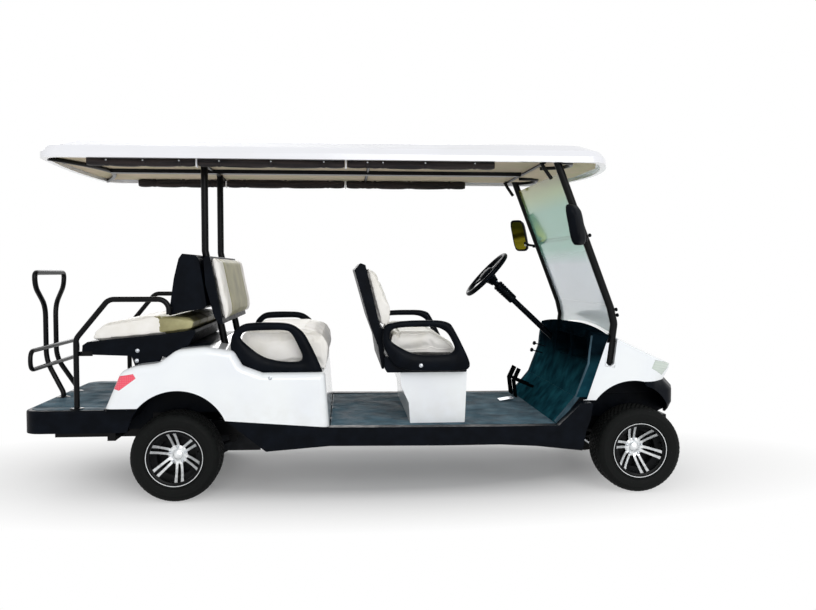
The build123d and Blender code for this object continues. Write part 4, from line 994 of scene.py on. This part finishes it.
def both_hands(mesh):
    """The mesh and its mirror image on the other side of the cart, as one."""
    other = mesh.copy()
    other.transform(Matrix.Scale(-1, 4, LEFT))
    other.flip_normals()
    return joined(mesh.name, [mesh, other])


# %% [markdown]
# ## Under the roof
# The roof is lined with beige felt between the curtain rolls. A dark channel along the middle hides
# the wires for the lamps; at the back it splits into two curved straps that end at the corners, and
# thin bows cross the roof above the legs. All of them lie against the lining.

# %% Felt lining and roof frame
LINING_Z, LINING_THICKNESS = 1763.6, 3.6
LINING_EDGE = [("rear", -640, 480), ("rear", -600, 560), ("front", -300, 560), ("front", -200, 420),
               ("front", -140, 220)]
CHANNEL_ENDS = (("rear", -460), ("front", -520))
CHANNEL_SECTION = ((-12, 1761), (-10, 1738), (50, 1738), (52, 1761))
STRAP_Z, STRAP_STEPS = 1749, 12
BOWS, BOW_Z = (("rear", 113), ("rear", 1000), ("front", -500)), 1755
half_edge = [place(axle, x, y, LINING_Z) for axle, x, y in LINING_EDGE]
upper = half_edge + [Vector((point.x, -point.y, point.z)) for point in reversed(half_edge)]
lower = [point - UP * LINING_THICKNESS * MM for point in upper]
new_piece("headliner", skin("headliner", [lower, upper], smooth=False), "roof_felt", "chassis")

channel_rings = [[place(axle, x, y, z) for y, z in CHANNEL_SECTION] for axle, x in CHANNEL_ENDS]
frame_tubes = [skin("wire_channel", channel_rings, smooth=False)]
for side in (-1, 1):
    shares = [step / STRAP_STEPS for step in range(STRAP_STEPS + 1)]
    curve = [place("rear", -460 - 165 * share ** 1.6, 20 + side * 520 * share, STRAP_Z) for share in shares]
    frame_tubes.append(tube_along("rear_strap", curve, 12, 10))
for axle, x in BOWS:
    bow = [place(axle, x, y, BOW_Z) for y in range(-495, 500, 90)]
    frame_tubes.append(tube_along("roof_bow", bow, 8, 10))
new_piece("roof_frame", joined("roof_frame", frame_tubes), "black_steel")

# %% [markdown]
# At the front, a bent tube runs from each pillar's top forward under the roof and back inside, and a
# short stay joins the roof to the windscreen's upper edge.

# %% Front loops and stays
LOOP = [(-446, 528, 1752), (-400, 520, 1754), (-352, 470, 1755), (-332, 400, 1755), (-345, 330, 1755),
        (-400, 280, 1755), (-470, 262, 1754)]
STAY = [(-520, 492, 1757), (-500, 492, 1722), (-462, 494, 1668)]
front_tubes = [tube_along("front_loop", [place("front", *point) for point in LOOP], 12, 10),
               tube_along("stay", [place("front", *point) for point in STAY], 10, 10)]
new_piece("front_roof_loops", both_hands(joined("front_roof_loops", front_tubes)), "black_steel")

# %% [markdown]
# ## Rolled curtains
# Each side has three curtains, rolled into sleeves. Cloth that is rolled by hand is never a straight
# bar: it bulges between its straps, hangs a little lower in the middle and creases lengthwise. The
# sleeve is drawn as rings along the roof whose height, width and outline follow that, with a few
# fixed waves instead of chance, so that it comes out the same every time.

# %% Curtain sleeves
SLEEVE_Y, SLEEVE_Z, SLEEVE_SAG = 522.5, 1736, 2
SLEEVE_SECTION = rounded(20, 25.5, 22, 3.0)
SLEEVES = [(("rear", -428), ("rear", 112)), (("rear", 122), ("rear", 867)), (("rear", 879), ("front", -775))]
STRAPS = [("rear", -330), ("rear", -150), ("rear", 30), ("rear", 230), ("rear", 491), ("rear", 760),
          ("front", -1440), ("front", -1360), ("front", -1140), ("front", -880)]
RING_STEP = 0.014
# How much a strap and an end pull the roll in, and over what length that fades.
STRAP_PULL, STRAP_FADE = 0.16, math.sqrt(0.0008)
END_PULL, END_FADE = 0.22, 0.012
strap_x = [place(axle, x, 0, 0).x for axle, x in STRAPS]


def sleeve_ring(x, x0, x1):
    """The roll's section at a place between its ends, pulled in by straps and ends, with creases."""
    near_strap = math.exp(-(min(abs(x - at) for at in strap_x) / STRAP_FADE) ** 2)
    near_end = math.exp(-min(x - x0, x1 - x) / END_FADE)
    full = 1.0 - STRAP_PULL * near_strap - END_PULL * near_end
    middle_z = SLEEVE_Z - SLEEVE_SAG * math.sin(math.pi * (x - x0) / (x1 - x0))
    ring = []
    for index, (wide, high) in enumerate(SLEEVE_SECTION):
        wave = 1 + 0.035 * math.sin(7 * x + index * 1.9) + 0.02 * math.sin(31 * x + index * 0.8)
        ring.append((x, (SLEEVE_Y + wide * full * wave) * MM, (middle_z + high * full * wave) * MM))
    return ring


sleeves = []
for (axle0, start), (axle1, end) in SLEEVES:
    x0, x1 = place(axle0, start, 0, 0).x, place(axle1, end, 0, 0).x
    steps = int((x1 - x0) / RING_STEP)
    rings = [sleeve_ring(x0 + (x1 - x0) * step / steps, x0, x1) for step in range(steps + 1)]
    sleeves.append(skin("sleeve", rings))
rolls = new_piece("curtain_rolls", both_hands(joined("curtain_rolls", sleeves)), "curtain_fabric")
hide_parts("roof_side_panels")
print("curtain rolls:", len(rolls.data.polygons), "faces")

# %% [markdown]
# A strap of the same cloth holds the roll at each of those places, and a press stud closes it.
# Straps and studs repeat, so the tree copies them. White tabs cover the joints between the rolls.

# %% Straps, studs and joints between the curtains
TABS_X, TAB_HALF = (117, 873), 4
TAB_Y, TAB_Z = (502.5, 544.5), (1709, 1758)
band_section = rounded(19.5, 25, 16, 3.0)
strap_shape = skin("band", [[(x * MM, y * MM, z * MM) for y, z in band_section] for x in (-8, 8)])
stud_shape = turned("stud", [(0, -1), (4.5, -1), (4.5, 1), (3.2, 2.2), (0, 2.8)], 10)
straps, studs = [], []
for axle, x in STRAPS:
    for side in (-1, 1):
        straps.append((place(axle, x, side * SLEEVE_Y, SLEEVE_Z), UP, FORWARD))
        studs.append((place(axle, x, side * (SLEEVE_Y + 18.5), SLEEVE_Z + 4), LEFT * side, FORWARD))
copies_on("curtain_straps", strap_shape, straps, "curtain_fabric")
copies_on("curtain_studs", stud_shape, studs, "bare_steel")
tabs = []
for x in TABS_X:
    edges = [(x + TAB_HALF * along, TAB_Z[up]) for along, up in ((-1, 0), (1, 0), (1, 1), (-1, 1))]
    tabs.append(plate("tab", side_outline("rear", edges), TAB_Y[0] * MM, TAB_Y[1] * MM, 1.5))
new_piece("curtain_tabs", both_hands(joined("curtain_tabs", tabs)), "roof_white")

# %% [markdown]
# ## Windscreen
# The lower pane reaches down to the nose and ends in a curve that follows its crown, held in a pale
# rubber edge. The two panes meet at a hinge strip. Each pane is one skin of rings from top to
# bottom; the lower edge is bent by moving the last rings' points.

# %% Lower pane, hinge strip and edge
PANE_HALF, PANE_STEPS = 509, 24
# The pane's side view, (height, x): its foot, the bend over the nose, the straight part and its top.
PANE_LINE = ((800, -140.7), (900, -128), (985, -148), (1802, -460))
NOSE_TOP, NOSE_DROP, NOSE_HALF = 873, 52, 620
FOOT_TOP = 999.6
HINGE_TOP, HINGE_FOOT = 1377, 1360


def pane_x(z):
    """Where the pane lies along the cart at a height, from the front axle."""
    (z0, x0), (z1, x1) = next((a, b) for a, b in zip(PANE_LINE, PANE_LINE[1:]) if z <= b[0])
    return x0 + (z - z0) * (x1 - x0) / (z1 - z0)


def nose_height(y):
    """Height of the nose's rear edge at a distance from the middle."""
    return NOSE_TOP - NOSE_DROP * (y / NOSE_HALF) ** 2


def pane_band(top, steps, thick, low=None):
    """A strip of pane across the cart from a height down to the nose or to another height."""
    rows = []
    for index in range(PANE_STEPS + 1):
        y = PANE_HALF * (2 * index / PANE_STEPS - 1)
        bottom = low or nose_height(y)
        heights = [top + (bottom - top) * step / steps for step in range(steps + 1)]
        front = [place("front", pane_x(z) + thick, y, z) for z in heights]
        back = [place("front", pane_x(z), y, z) for z in reversed(heights)]
        rows.append(front + back)
    return rows


new_piece("windscreen_foot", skin("windscreen_foot", pane_band(FOOT_TOP, 8, 5)), "clear_glass")
hinge = skin("windscreen_hinge", pane_band(HINGE_TOP, 1, 8, HINGE_FOOT), smooth=False)
new_piece("windscreen_hinge", hinge, "clear_glass")
edge = [place("front", pane_x(nose_height(y)) + 3, y, nose_height(y) + 1) for y in range(-508, 509, 32)]
new_piece("windscreen_edge", tube_along("windscreen_edge", edge, 9, 12), "white_body")

# %% [markdown]
# Wing screws on the pillars let the upper pane fold, and a filler closes the gap between each
# pillar's foot and the nose.

# %% Pillar screws and fillers
SCREWS, SCREW_Y = ((-121, 974), (-114, 944), (-268, 1368)), 530
OFF_THE_PANE = Vector((0.95, 0, 0.3))
knob_profile = [(0, -14), (4, -14), (4, -2), (9, -1), (10.5, 4), (9, 10), (5, 12.5), (0, 13)]
knobs = [(place("front", x, side * SCREW_Y, z), OFF_THE_PANE, LEFT) for x, z in SCREWS for side in (-1, 1)]
copies_on("pillar_screws", turned("knob", knob_profile, 14), knobs, "black_plastic")
FILLERS = [[(-135, 670), (-130.5, 668.6), (-107, 815), (-117, 817)],
           [(-175.5, 699), (-183, 680), (-174.5, 800), (-162.5, 800)],
           [(-183, 677.5), (-131, 669), (-134, 688), (-142, 679.5), (-154, 674.6), (-166, 679), (-175, 692)]]
fillers = [plate("filler", side_outline("front", outline), 0.512, 0.5595) for outline in FILLERS]
new_piece("pillar_fillers", both_hands(joined("pillar_fillers", fillers)), "white_body")

# %% [markdown]
# ## Mirrors
# Each mirror is a rounded shell on an arm, turned in towards the driver. The shell is a stack of
# rounded rings, small at the back and full at the front, with the glass let into its rim. The left
# and the right one are mirror images, and both lean with the pillars.

# %% Mirror shells and glass
MIRROR_CENTRE = (-378, 668, 1417)
MIRROR_TURN = math.radians(48)
MIRROR_LEAN = 0.2
MIRROR_OUTLINE, GLASS_OUTLINE = rounded(50, 104, 28, 5.0), rounded(43.8, 91.2, 28, 5.0)
# The shell's rings: how far each lies towards the glass, and its share of the outline.
SHELL_RINGS = [(-27, 0.5), (-24, 0.78), (-12, 0.95), (4, 1.0), (14, 1.0), (17, 0.96), (15, 0.9), (12, 0.88)]
ARM = [(-282, 532, 1348), (-300, 560, 1346), (-330, 592, 1352), (-352, 634, 1368)]
ARM_SCREWS = ((-612, (-0.3, -1, 0)), (612, (-0.6, -0.8, 0)))


def mirror_point(deep, wide, high):
    """A point of the left mirror, its glass facing back and in."""
    back = Vector((-math.cos(MIRROR_TURN), -math.sin(MIRROR_TURN), 0))
    across = Vector((-back.y, back.x, 0))
    upright = UP + BACKWARD * MIRROR_LEAN
    return place("front", *MIRROR_CENTRE) + (back * deep + across * wide + upright * high) * MM


shell = [[mirror_point(deep, wide * share, high * share) for wide, high in MIRROR_OUTLINE]
         for deep, share in SHELL_RINGS]
glass = [[mirror_point(deep, wide, high) for wide, high in GLASS_OUTLINE] for deep in (11.5, 14)]
arm = tube_along("arm", [place("front", *point) for point in ARM], 8, 10)
socket = turned("socket", [(0, -12), (15, -12), (17, -6), (15, 8), (0, 10)], 16)
socket.transform(Matrix.Translation(place("front", -300, 556, 1346)))
shell_parts = joined("mirror_shells", [skin("shell", shell), arm, socket])
shells = new_piece("mirror_shells", both_hands(shell_parts), "black_plastic")
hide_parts("mirrors")
glasses = both_hands(skin("mirror_glass", glass))
new_piece("mirror_glass", glasses, "mirror_silver", "chassis")
screw_shape = turned("screw", [(0, -3), (7, -3), (7, 2), (4, 5), (0, 6)], 10)
screws = [(place("front", -352, y, 1352), Vector(facing), UP) for y, facing in ARM_SCREWS]
copies_on("mirror_screws", screw_shape, screws, "cream_vinyl")

# %% [markdown]
# ## Inner fenders
# Between the tyre and the nose a black plastic wall closes the wheel's space towards the middle. It
# runs just inside the room that the steered tyre needs, and a flange joins it to the arch above. A
# shorter wall behind the rear tyre does the same under the step.

# %% Inner fenders
FENDER_Y, FLANGE_END_Y = 0.286, 0.336
WALL_THICKNESS, REAR_WALL_GAP = 0.004, 0.014
FENDER = [(-300, 362), (-300, 499), (255, 499), (255, 405), (160, 362)]
FLANGE = [(-282, 498.2), (232, 498.2), (232, 501.5), (-282, 501.5)]
REAR_WALL = [(-338, 345), (-338, 486), (-150, 486), (-150, 345)]
wall = plate("wall", side_outline("front", FENDER), FENDER_Y, FENDER_Y + WALL_THICKNESS)
flange = plate("flange", side_outline("front", FLANGE), FENDER_Y, FLANGE_END_Y)
rear_wall_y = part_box("tyre_rear_left")[0].y - REAR_WALL_GAP
rear_wall = plate("rear_wall", side_outline("rear", REAR_WALL), rear_wall_y - WALL_THICKNESS, rear_wall_y)
new_piece("inner_fenders", both_hands(joined("inner_fenders", [wall, flange, rear_wall])), "black_plastic")

# %% [markdown]
# ## Ribbed mats
# The floor and the rear step have rubber mats with ribs that run lengthwise, so that water and sand
# fall between them. One rib is a low bar with bevelled edges; the tree sets it side by side. The
# sloping toe board has no mat: it is smooth plastic like the dash above it.

# %% Ribs on the floor and the step
def rib(name, long_mm, wide_mm=9, high_mm=2.6):
    """A low bar along X whose top is a little narrower than its foot."""
    half, foot, top = long_mm / 2 * MM, wide_mm / 2, wide_mm * 0.32
    section = [(-foot, -0.5), (foot, -0.5), (top, high_mm), (-top, high_mm)]
    return skin(name, [[(x, y * MM, z * MM) for y, z in section] for x in (-half, half)], smooth=False)


FLOOR_TOP, RIB_STEP = 375, 18
TOE_START, TOE_HALF = -449, 0.5575
TOE_LINE = [(-452, 376.5), (-340, 513.5), (-337, 511), (TOE_START, 374.5)]
flat_start, flat_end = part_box("floor_panel")[0].x + 0.006, place("front", TOE_START, 0, 0).x
flat_middle = (flat_start + flat_end) / 2
rows = [y * MM for y in range(-546, 547, RIB_STEP)]
floor_ribs = [(Vector((flat_middle, y, FLOOR_TOP * MM)), UP, FORWARD) for y in rows]
copies_on("floor_ribs", rib("rib", (flat_end - flat_start) / MM), floor_ribs, "floor_rubber")
toe_board = plate("toe_board", side_outline("front", TOE_LINE), -TOE_HALF, TOE_HALF)
new_piece("toe_board", toe_board, "teal_plastic")

STEP_TOP, STEP_MAT_TOP = 475, 477
STEP_RIB_X, STEP_RIB_LENGTH = -546, 376
STEP_OUTLINE = [(-742, -460), (-742, 460), (-725, 505), (-690, 535), (-352, 545), (-352, -545), (-690, -535),
                (-725, -505)]
mat_faces = [[place("rear", x, y, z) for x, y in STEP_OUTLINE] for z in (STEP_TOP - 1, STEP_MAT_TOP)]
new_piece("step_mat", skin("step_mat", mat_faces, smooth=False), "floor_rubber")
step_ribs = [(place("rear", STEP_RIB_X, y, STEP_MAT_TOP), UP, FORWARD) for y in range(-450, 451, RIB_STEP)]
copies_on("step_ribs", rib("step_rib", STEP_RIB_LENGTH), step_ribs, "floor_rubber")

# %% [markdown]
# ## Steering and dash
# Below the wheel the column has a ribbed rubber sleeve. The wheel has a padded centre, and a cone
# under it that closes the gap to the sleeve. Two switch knobs stand out from the dash on stalks.
# Each is turned on a lathe and set on its axis.

# %% Column sleeve, wheel centre and knobs
SLEEVE_RIBS, SLEEVE_PITCH, SLEEVE_START = 6, 18, 0.094
SWITCH_Y, SWITCHES = 300, ((-359, 723), (-375, 680))
OFF_THE_DASH = Vector((-0.96, 0, 0.28))
wheel_centre = place("front", -672, 280, 1158)
down = (place("front", -298, 280, 807) - wheel_centre).normalized()
sleeve_profile = [(0, -6)]
for number in range(SLEEVE_RIBS):
    start, crest = number * SLEEVE_PITCH, 33 - number * 0.7
    sleeve_profile += [(27, start), (crest, start + 5), (crest, start + 12), (27, start + 16)]
sleeve_profile += [(20, 122), (0, 124)]
column_sleeve = turned("column_sleeve", sleeve_profile, 28)
copies_on("column_sleeve", column_sleeve, [(wheel_centre + down * SLEEVE_START, down, LEFT)], "black_plastic")
horn_profile = [(0, -74), (26, -74), (32, -50), (46, -14), (50, 4), (48, 12), (42, 18), (24, 22), (0, 23)]
horn_pad = turned("horn_pad", horn_profile, 36)
copies_on("horn_pad", horn_pad, [(wheel_centre, -down, LEFT)], "black_plastic", "steering_wheel")
switch_profile = [(0, -70), (3.5, -70), (3.5, -8), (8, -7), (12.5, -2), (12.5, 6), (9, 11), (0, 12)]
switches = [(place("front", x, SWITCH_Y, z), OFF_THE_DASH, UP) for x, z in SWITCHES]
copies_on("dash_switches", turned("switch", switch_profile, 18), switches, "black_plastic")

# %% [markdown]
# The dash has a rubber edge down each open side, in the blue-grey of the mats, and a lip round each
# shelf, which stiffens the moulding. Both are tubes, half sunk in.

# %% Dash borders and shelf lips
DASH_EDGE, DASH_EDGE_Y = [(-449, 382), (-336, 516), (-270, 690), (-264, 752), (-252, 838)], 552
SHELVES = ((-500, -215), (-165, 130))
border_line = [place("front", x, DASH_EDGE_Y, z) for x, z in DASH_EDGE]
lips = []
for y0, y1 in SHELVES:
    rim = [(-266, y0, 694), (-266, y1, 694), (-254, y1, 820), (-254, y0, 820)]
    lips.append(tube_along("lip", [place("front", *point) for point in rim], 4.5, 8, True))
new_piece("dash_borders", both_hands(tube_along("dash_borders", border_line, 7, 10)), "floor_rubber")
new_piece("dash_shelf_lips", joined("dash_shelf_lips", lips), "teal_plastic")

# %% [markdown]
# ## Bolts
# A few bolts show: on the rear pan and its brackets, on the front armrest's foot, low on the body's
# side and at the rails' feet. A cap screw has a domed head on a thin washer, and one shape serves all.

# %% Bolts where they show
FOOT_BOLTS, FOOT_BOLT_CIRCLE = 3, 24
RAIL_FOOT, HOOP_FOOT = (-500, 515), (-700, 115)
bolt_shape = turned("bolt", [(0, -2), (10, -2), (10, 0.5), (7.5, 1), (7, 4), (4.5, 6), (0, 6.5)], 12)
# Each row: the axle, x, distance from the middle, z.
BOLTS = [("rear", -201, 490.5, 770), ("rear", -205, 490.5, 718), ("rear", 486, 620.5, 638),
         ("front", -1166, 582, 690)]
spots = [(place(axle, x, side * y, z), LEFT * side, UP) for axle, x, y, z in BOLTS for side in (-1, 1)]
copies_on("side_bolts", bolt_shape, spots, "bare_steel")
feet = []
for side in (-1, 1):
    rail_foot = place("rear", RAIL_FOOT[0], side * RAIL_FOOT[1], STEP_TOP + 4.5)
    for number in range(FOOT_BOLTS):
        angle = 2 * math.pi * number / FOOT_BOLTS
        away = Vector((math.cos(angle), math.sin(angle), 0)) * FOOT_BOLT_CIRCLE * MM
        feet.append((rail_foot + away, UP, FORWARD))
flange_shape = turned("foot_flange", [(15, 0), (36, 0), (36, 3), (33, 5), (16, 6)], 28)
flanges = [(place("rear", x, side * y, STEP_TOP + 1), UP, FORWARD)
           for x, y in (RAIL_FOOT, HOOP_FOOT) for side in (-1, 1)]
copies_on("rail_flanges", flange_shape, flanges, "black_steel")
copies_on("foot_bolts", turned("foot_bolt", [(0, -1), (5, -1), (5, 3), (0, 4)], 6, False), feet, "bare_steel")

# %% [markdown]
# The rear step's moulding is black; only its mat is blue-grey. The part's slot is the mat's, so the
# moulding gets its own finish here.

# %% Black skirt under the step's mat
nodes["rear_footplate"].data.materials[0] = materials["black_plastic"]
print("the skirt's finish:", nodes["rear_footplate"].data.materials[0].name)

# %% [markdown]
# Pedal pads are matt rubber. A surface seen this edge-on mirrors the bright room however low its
# gloss is set, so the pads' Specular is 0 and their Base Color stays near black.

# %% Matt rubber pads on the pedals
tree, shader, where = start_finish("pedal_rubber", Roughness=0.9, Specular_IOR_Level=0.0)
tree.links.new(mottle(tree, where, 40, 0x06080A, 0x0B0D10), shader.inputs["Base Color"])
nodes["pedals"].data.materials[0] = materials["pedal_rubber"]
print("the pedals' finish:", nodes["pedals"].data.materials[0].name)

# %% [markdown]
# ## Hip restraints
# The loops beside the seats are moulded foam over a steel core, soft in every corner. Corner cutting
# gives such a line: each pass swaps a corner for two points a fifth of the way along its edges.
# Rays from the middle of the opening then pair the outer line with the inner one, and every pair
# gets a rounded section between them.

# %% Loops beside the seats
ARM_Y, ARM_HALF = 560, 22
# By axle: the corners of the outer line, those of the opening, and a middle that sees all of both.
ARMS = {
    "front": ([(-1366, 792), (-1362, 905), (-1250, 925), (-1020, 925), (-975, 850), (-900, 695), (-920, 657),
               (-1290, 660)],
              [(-1330, 815), (-1322, 880), (-1240, 890), (-1040, 890), (-967, 748), (-1196, 742)],
              (-1150, 815)),
    "rear": ([(279, 790), (290, 862), (345, 912), (430, 919), (585, 916), (655, 868), (712, 755), (754, 655),
              (740, 645), (400, 645), (300, 720)],
             [(325, 835), (350, 872), (440, 877), (570, 878), (600, 850), (662, 716), (545, 714), (440, 740)],
             (490, 795))}
CORNER_CUT = 0.2
ARM_STEPS, ARM_SECTION = 112, 14
# Edges that a ray runs along are passed over, and a ray through a corner may miss by a hair.
PARALLEL, SLACK = 1e-9, 1e-6


def soft_line(corners, passes=3):
    """A closed line with its corners cut again and again."""
    for _ in range(passes):
        edges = zip(corners, corners[1:] + corners[:1])
        corners = [(x0 + (x1 - x0) * share, z0 + (z1 - z0) * share)
                   for (x0, z0), (x1, z1) in edges for share in (CORNER_CUT, 1 - CORNER_CUT)]
    return corners


def reach_at(line, centre, angle):
    """Distance from the centre to a closed line along an angle."""
    way = Vector((math.cos(angle), math.sin(angle)))
    best = 0.0
    for first, second in zip(line, line[1:] + line[:1]):
        start = Vector(first) - Vector(centre)
        edge = Vector(second) - Vector(first)
        across = way.cross(edge)
        if abs(across) > PARALLEL:
            along, share = start.cross(edge) / across, start.cross(way) / across
            if along > 0 and -SLACK <= share <= 1 + SLACK:
                best = max(best, along)
    return best


def arm_loop(axle, outer, opening, centre):
    """One loop: a rounded section in every direction from the middle of its opening."""
    outer, opening = soft_line(outer), soft_line(opening)
    points, faces = [], []
    for step in range(ARM_STEPS):
        angle = 2 * math.pi * step / ARM_STEPS
        far, near = reach_at(outer, centre, angle), reach_at(opening, centre, angle)
        for wide, high in rounded(ARM_HALF, (far - near) / 2, ARM_SECTION, 2.6):
            reach = (far + near) / 2 + high
            x, z = centre[0] + reach * math.cos(angle), centre[1] + reach * math.sin(angle)
            points.append(place(axle, x, ARM_Y + wide, z))
    for step in range(ARM_STEPS):
        faces += band_of_faces(step * ARM_SECTION, (step + 1) % ARM_STEPS * ARM_SECTION, ARM_SECTION)
    return mesh_from("loop", points, faces, True)


loops = [arm_loop(axle, *lines) for axle, lines in ARMS.items()]
armrests = new_piece("hip_restraints", both_hands(joined("hip_restraints", loops)), "black_plastic")
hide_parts("seat_armrests")
print("hip restraints:", len(armrests.data.polygons), "faces")

# %% [markdown]
# ## Grab bar
# The bar at the back is one tube bent to a keyhole, with a thinner loop welded across its neck. A
# pipe bender leaves an even curve at each corner, so the path's corners are swapped for short arcs.

# %% Keyhole bar and loop
# How far the bar stands ahead of the part's rear end, and its loop ahead of the bar.
BAR_FROM_REAR, LOOP_AHEAD = 36.5, 24.5
HOOP_SIDE = ((80, 680), (80, 985), (222, 1092), (235, 1172))
LOOP_CORNERS = ((-380, 660), (-380, 760), (380, 760), (380, 660))
# A bend takes at most this share of the edges beside it, so that two bends never meet.
LONGEST_CUT = 0.48


def bent(corners, radius_mm, closed=False):
    """A path in metres whose corners are rounded as a bender would."""
    path, count = [], len(corners)
    for index, corner in enumerate(corners):
        if not closed and index in (0, count - 1):
            path.append(corner)
            continue
        before, after = corners[index - 1] - corner, corners[(index + 1) % count] - corner
        cut = min(radius_mm * MM, before.length * LONGEST_CUT, after.length * LONGEST_CUT)
        start, end = corner + before.normalized() * cut, corner + after.normalized() * cut
        path += [start.lerp(corner, t).lerp(corner.lerp(end, t), t) for t in (0, 0.2, 0.4, 0.6, 0.8, 1)]
    return path


bar_x = (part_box("rear_grab_bar")[0].x - AXLE_X["rear"]) / MM + BAR_FROM_REAR
hoop_line = [(*HOOP_FOOT, STEP_TOP), (*HOOP_FOOT, 505)] + [(bar_x, y, z) for y, z in HOOP_SIDE]
hoop = [place("rear", *point) for point in hoop_line]
hoop += [Vector((point.x, -point.y, point.z)) for point in reversed(hoop)]
loop = [place("rear", bar_x + LOOP_AHEAD, y, z) for y, z in LOOP_CORNERS]
tubes = [tube_along("hoop", bent(hoop, 60), 14, 14), tube_along("loop", bent(loop, 50, True), 12, 12, True)]
grab = new_piece("keyhole_bar", joined("keyhole_bar", tubes), "black_steel")
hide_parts("rear_grab_bar")

# %% [markdown]
# The accelerator is a long bare metal treadle, hinged at the floor.

# %% Accelerator treadle
TREADLE, TREADLE_Y = [(-606, 378), (-520, 392), (-520, 397), (-606, 383)], (0.165, 0.25)
treadle = plate("treadle", side_outline("front", TREADLE), *TREADLE_Y, 1.2)
new_piece("accelerator_treadle", treadle, "bare_steel")
print("treadle:", len(treadle.polygons), "faces")

# %% [markdown]
# Behind the second row the body's top is closed by a dark lid over the motor. It is a thin panel
# with rounded edges, laid on the body.

# %% Motor lid
LID, LID_HALF = [(34, 780), (168, 786), (168, 798), (34, 792)], 0.5
lid = plate("motor_lid", side_outline("rear", LID), -LID_HALF, LID_HALF, 3)
new_piece("motor_lid", lid, "black_plastic")
print("motor lid:", len(lid.polygons), "faces")

# %% [markdown]
# ## Camera and light
# The camera stands at eye level beside the cart, a little behind its middle, and looks slightly down.
# A soft world light and a pale floor keep every colour close to how it is written. Light Path tells
# the world which rays come from the camera, a mirror or a glass: those see plain white, and the
# rest bring the softer light.

# %% Camera
FOCAL_PIXELS, IMAGE_WIDTH = 812.84, 816
CAMERA_BACK, CAMERA_AWAY = 0.3516, 4.7604
EYE_LEVEL = 1.1845
LOOKS_DOWN, LOOKS_BACK = 2.451, 4.512
camera_data = bpy.data.cameras.new("camera")
camera_data.sensor_width = 36
camera_data.lens = FOCAL_PIXELS / IMAGE_WIDTH * camera_data.sensor_width
camera = bpy.data.objects.new("camera", camera_data)
camera.location = ((AXLE_X["front"] + AXLE_X["rear"]) / 2 - CAMERA_BACK, -CAMERA_AWAY, EYE_LEVEL)
camera.rotation_euler = (math.radians(90 - LOOKS_DOWN), 0, math.radians(-LOOKS_BACK))
scene.collection.objects.link(camera)
scene.camera = camera
print("camera:", round(camera_data.lens, 2), "mm lens, eye level", EYE_LEVEL, "m")

# %% [markdown]
# The floor shades as a real one near the cart and turns into the room's white away from it, where
# no shadow falls. The change follows an oval as long as the cart, so that no edge of the floor
# shows. A small share of plain white near the cart keeps its shadow soft.

# %% Floor and soft light
FLOOR_REACH = 60
OVAL_MIDDLE_Y, OVAL_NARROW = 0.15, 0.42
FADE_START, FADE_END, WHITE_NEAR = 0.55, 1.3, 0.12
WORLD_LIGHT = 0.62


def plainly_seen(tree):
    """1 for a ray from the camera, from a mirror or through glass, and 0 for the rays that light."""
    path = add_node(tree, "ShaderNodeLightPath")
    share = path.outputs["Is Camera Ray"]
    for kind in ("Is Transmission Ray", "Is Glossy Ray"):
        either = add_node(tree, "ShaderNodeMath", {"operation": "MAXIMUM"}, {0: share, 1: path.outputs[kind]})
        share = either.outputs[0]
    return share


floor_mesh = bpy.data.meshes.new("floor")
corners = [(x * FLOOR_REACH, y * FLOOR_REACH, 0) for x, y in ((-1, -1), (1, -1), (1, 1), (-1, 1))]
floor_mesh.from_pydata(corners, [], [(0, 1, 2, 3)])
floor = put_in_scene("floor", floor_mesh)
tree, shader, where = start_finish("pale_floor", Roughness=0.9, Specular_IOR_Level=0.0)
tree.links.new(mottle(tree, where, 2000, 0xF4F4F4, 0xEEEEEE), shader.inputs["Base Color"])
plain = add_node(tree, "ShaderNodeEmission", {"Color": (1, 1, 1, 1), "Strength": 1.0})
oval_shape = {"Location": (0, -OVAL_MIDDLE_Y, 0), "Scale": (OVAL_NARROW, 1, 1)}
oval = add_node(tree, "ShaderNodeMapping", oval_shape, {"Vector": where})
away = add_node(tree, "ShaderNodeVectorMath", {"operation": "LENGTH"}, {0: oval.outputs["Vector"]})
fade_span = {"From Min": FADE_START, "From Max": FADE_END, "To Min": WHITE_NEAR}
fade = add_node(tree, "ShaderNodeMapRange", fade_span, {"Value": away.outputs["Value"]})
share = add_node(tree, "ShaderNodeMath", {"operation": "MULTIPLY"},
                 {0: plainly_seen(tree), 1: fade.outputs["Result"]})
both = add_node(tree, "ShaderNodeMixShader", None,
                {0: share.outputs[0], 1: shader.outputs["BSDF"], 2: plain.outputs["Emission"]})
surface = next(node for node in tree.nodes if node.type == "OUTPUT_MATERIAL").inputs["Surface"]
tree.links.new(both.outputs["Shader"], surface)
floor_mesh.materials.append(materials["pale_floor"])

world = bpy.data.worlds.new("soft_white_studio")
scene.world = world
world.use_nodes = True
tree = world.node_tree
glow = add_node(tree, "ShaderNodeMapRange", {"To Min": WORLD_LIGHT}, {"Value": plainly_seen(tree)})
background = tree.nodes["Background"]
background.inputs["Color"].default_value = (1, 1, 1, 1)
tree.links.new(glow.outputs["Result"], background.inputs["Strength"])
scene.view_settings.view_transform = "Standard"

# %% [markdown]
# The roof keeps the sky's light off the seats, so a broad soft lamp stands low on each side and
# reaches in under it. Their wide angle leaves no hard shadow.

# %% Low side lamps
LAMPS = {"near_lamp": ((-0.25, 1.0, -0.42), 1.25), "far_lamp": ((0.2, -1.0, -0.42), 0.8)}
LAMP_SPREAD = 40
for name, (way, strength) in LAMPS.items():
    lamp_data = bpy.data.lights.new(name, "SUN")
    lamp_data.energy = strength
    lamp_data.angle = math.radians(LAMP_SPREAD)
    lamp = bpy.data.objects.new(name, lamp_data)
    lamp.rotation_euler = Vector(way).to_track_quat("-Z", "Y").to_euler()
    scene.collection.objects.link(lamp)
print("lamps:", len(LAMPS))
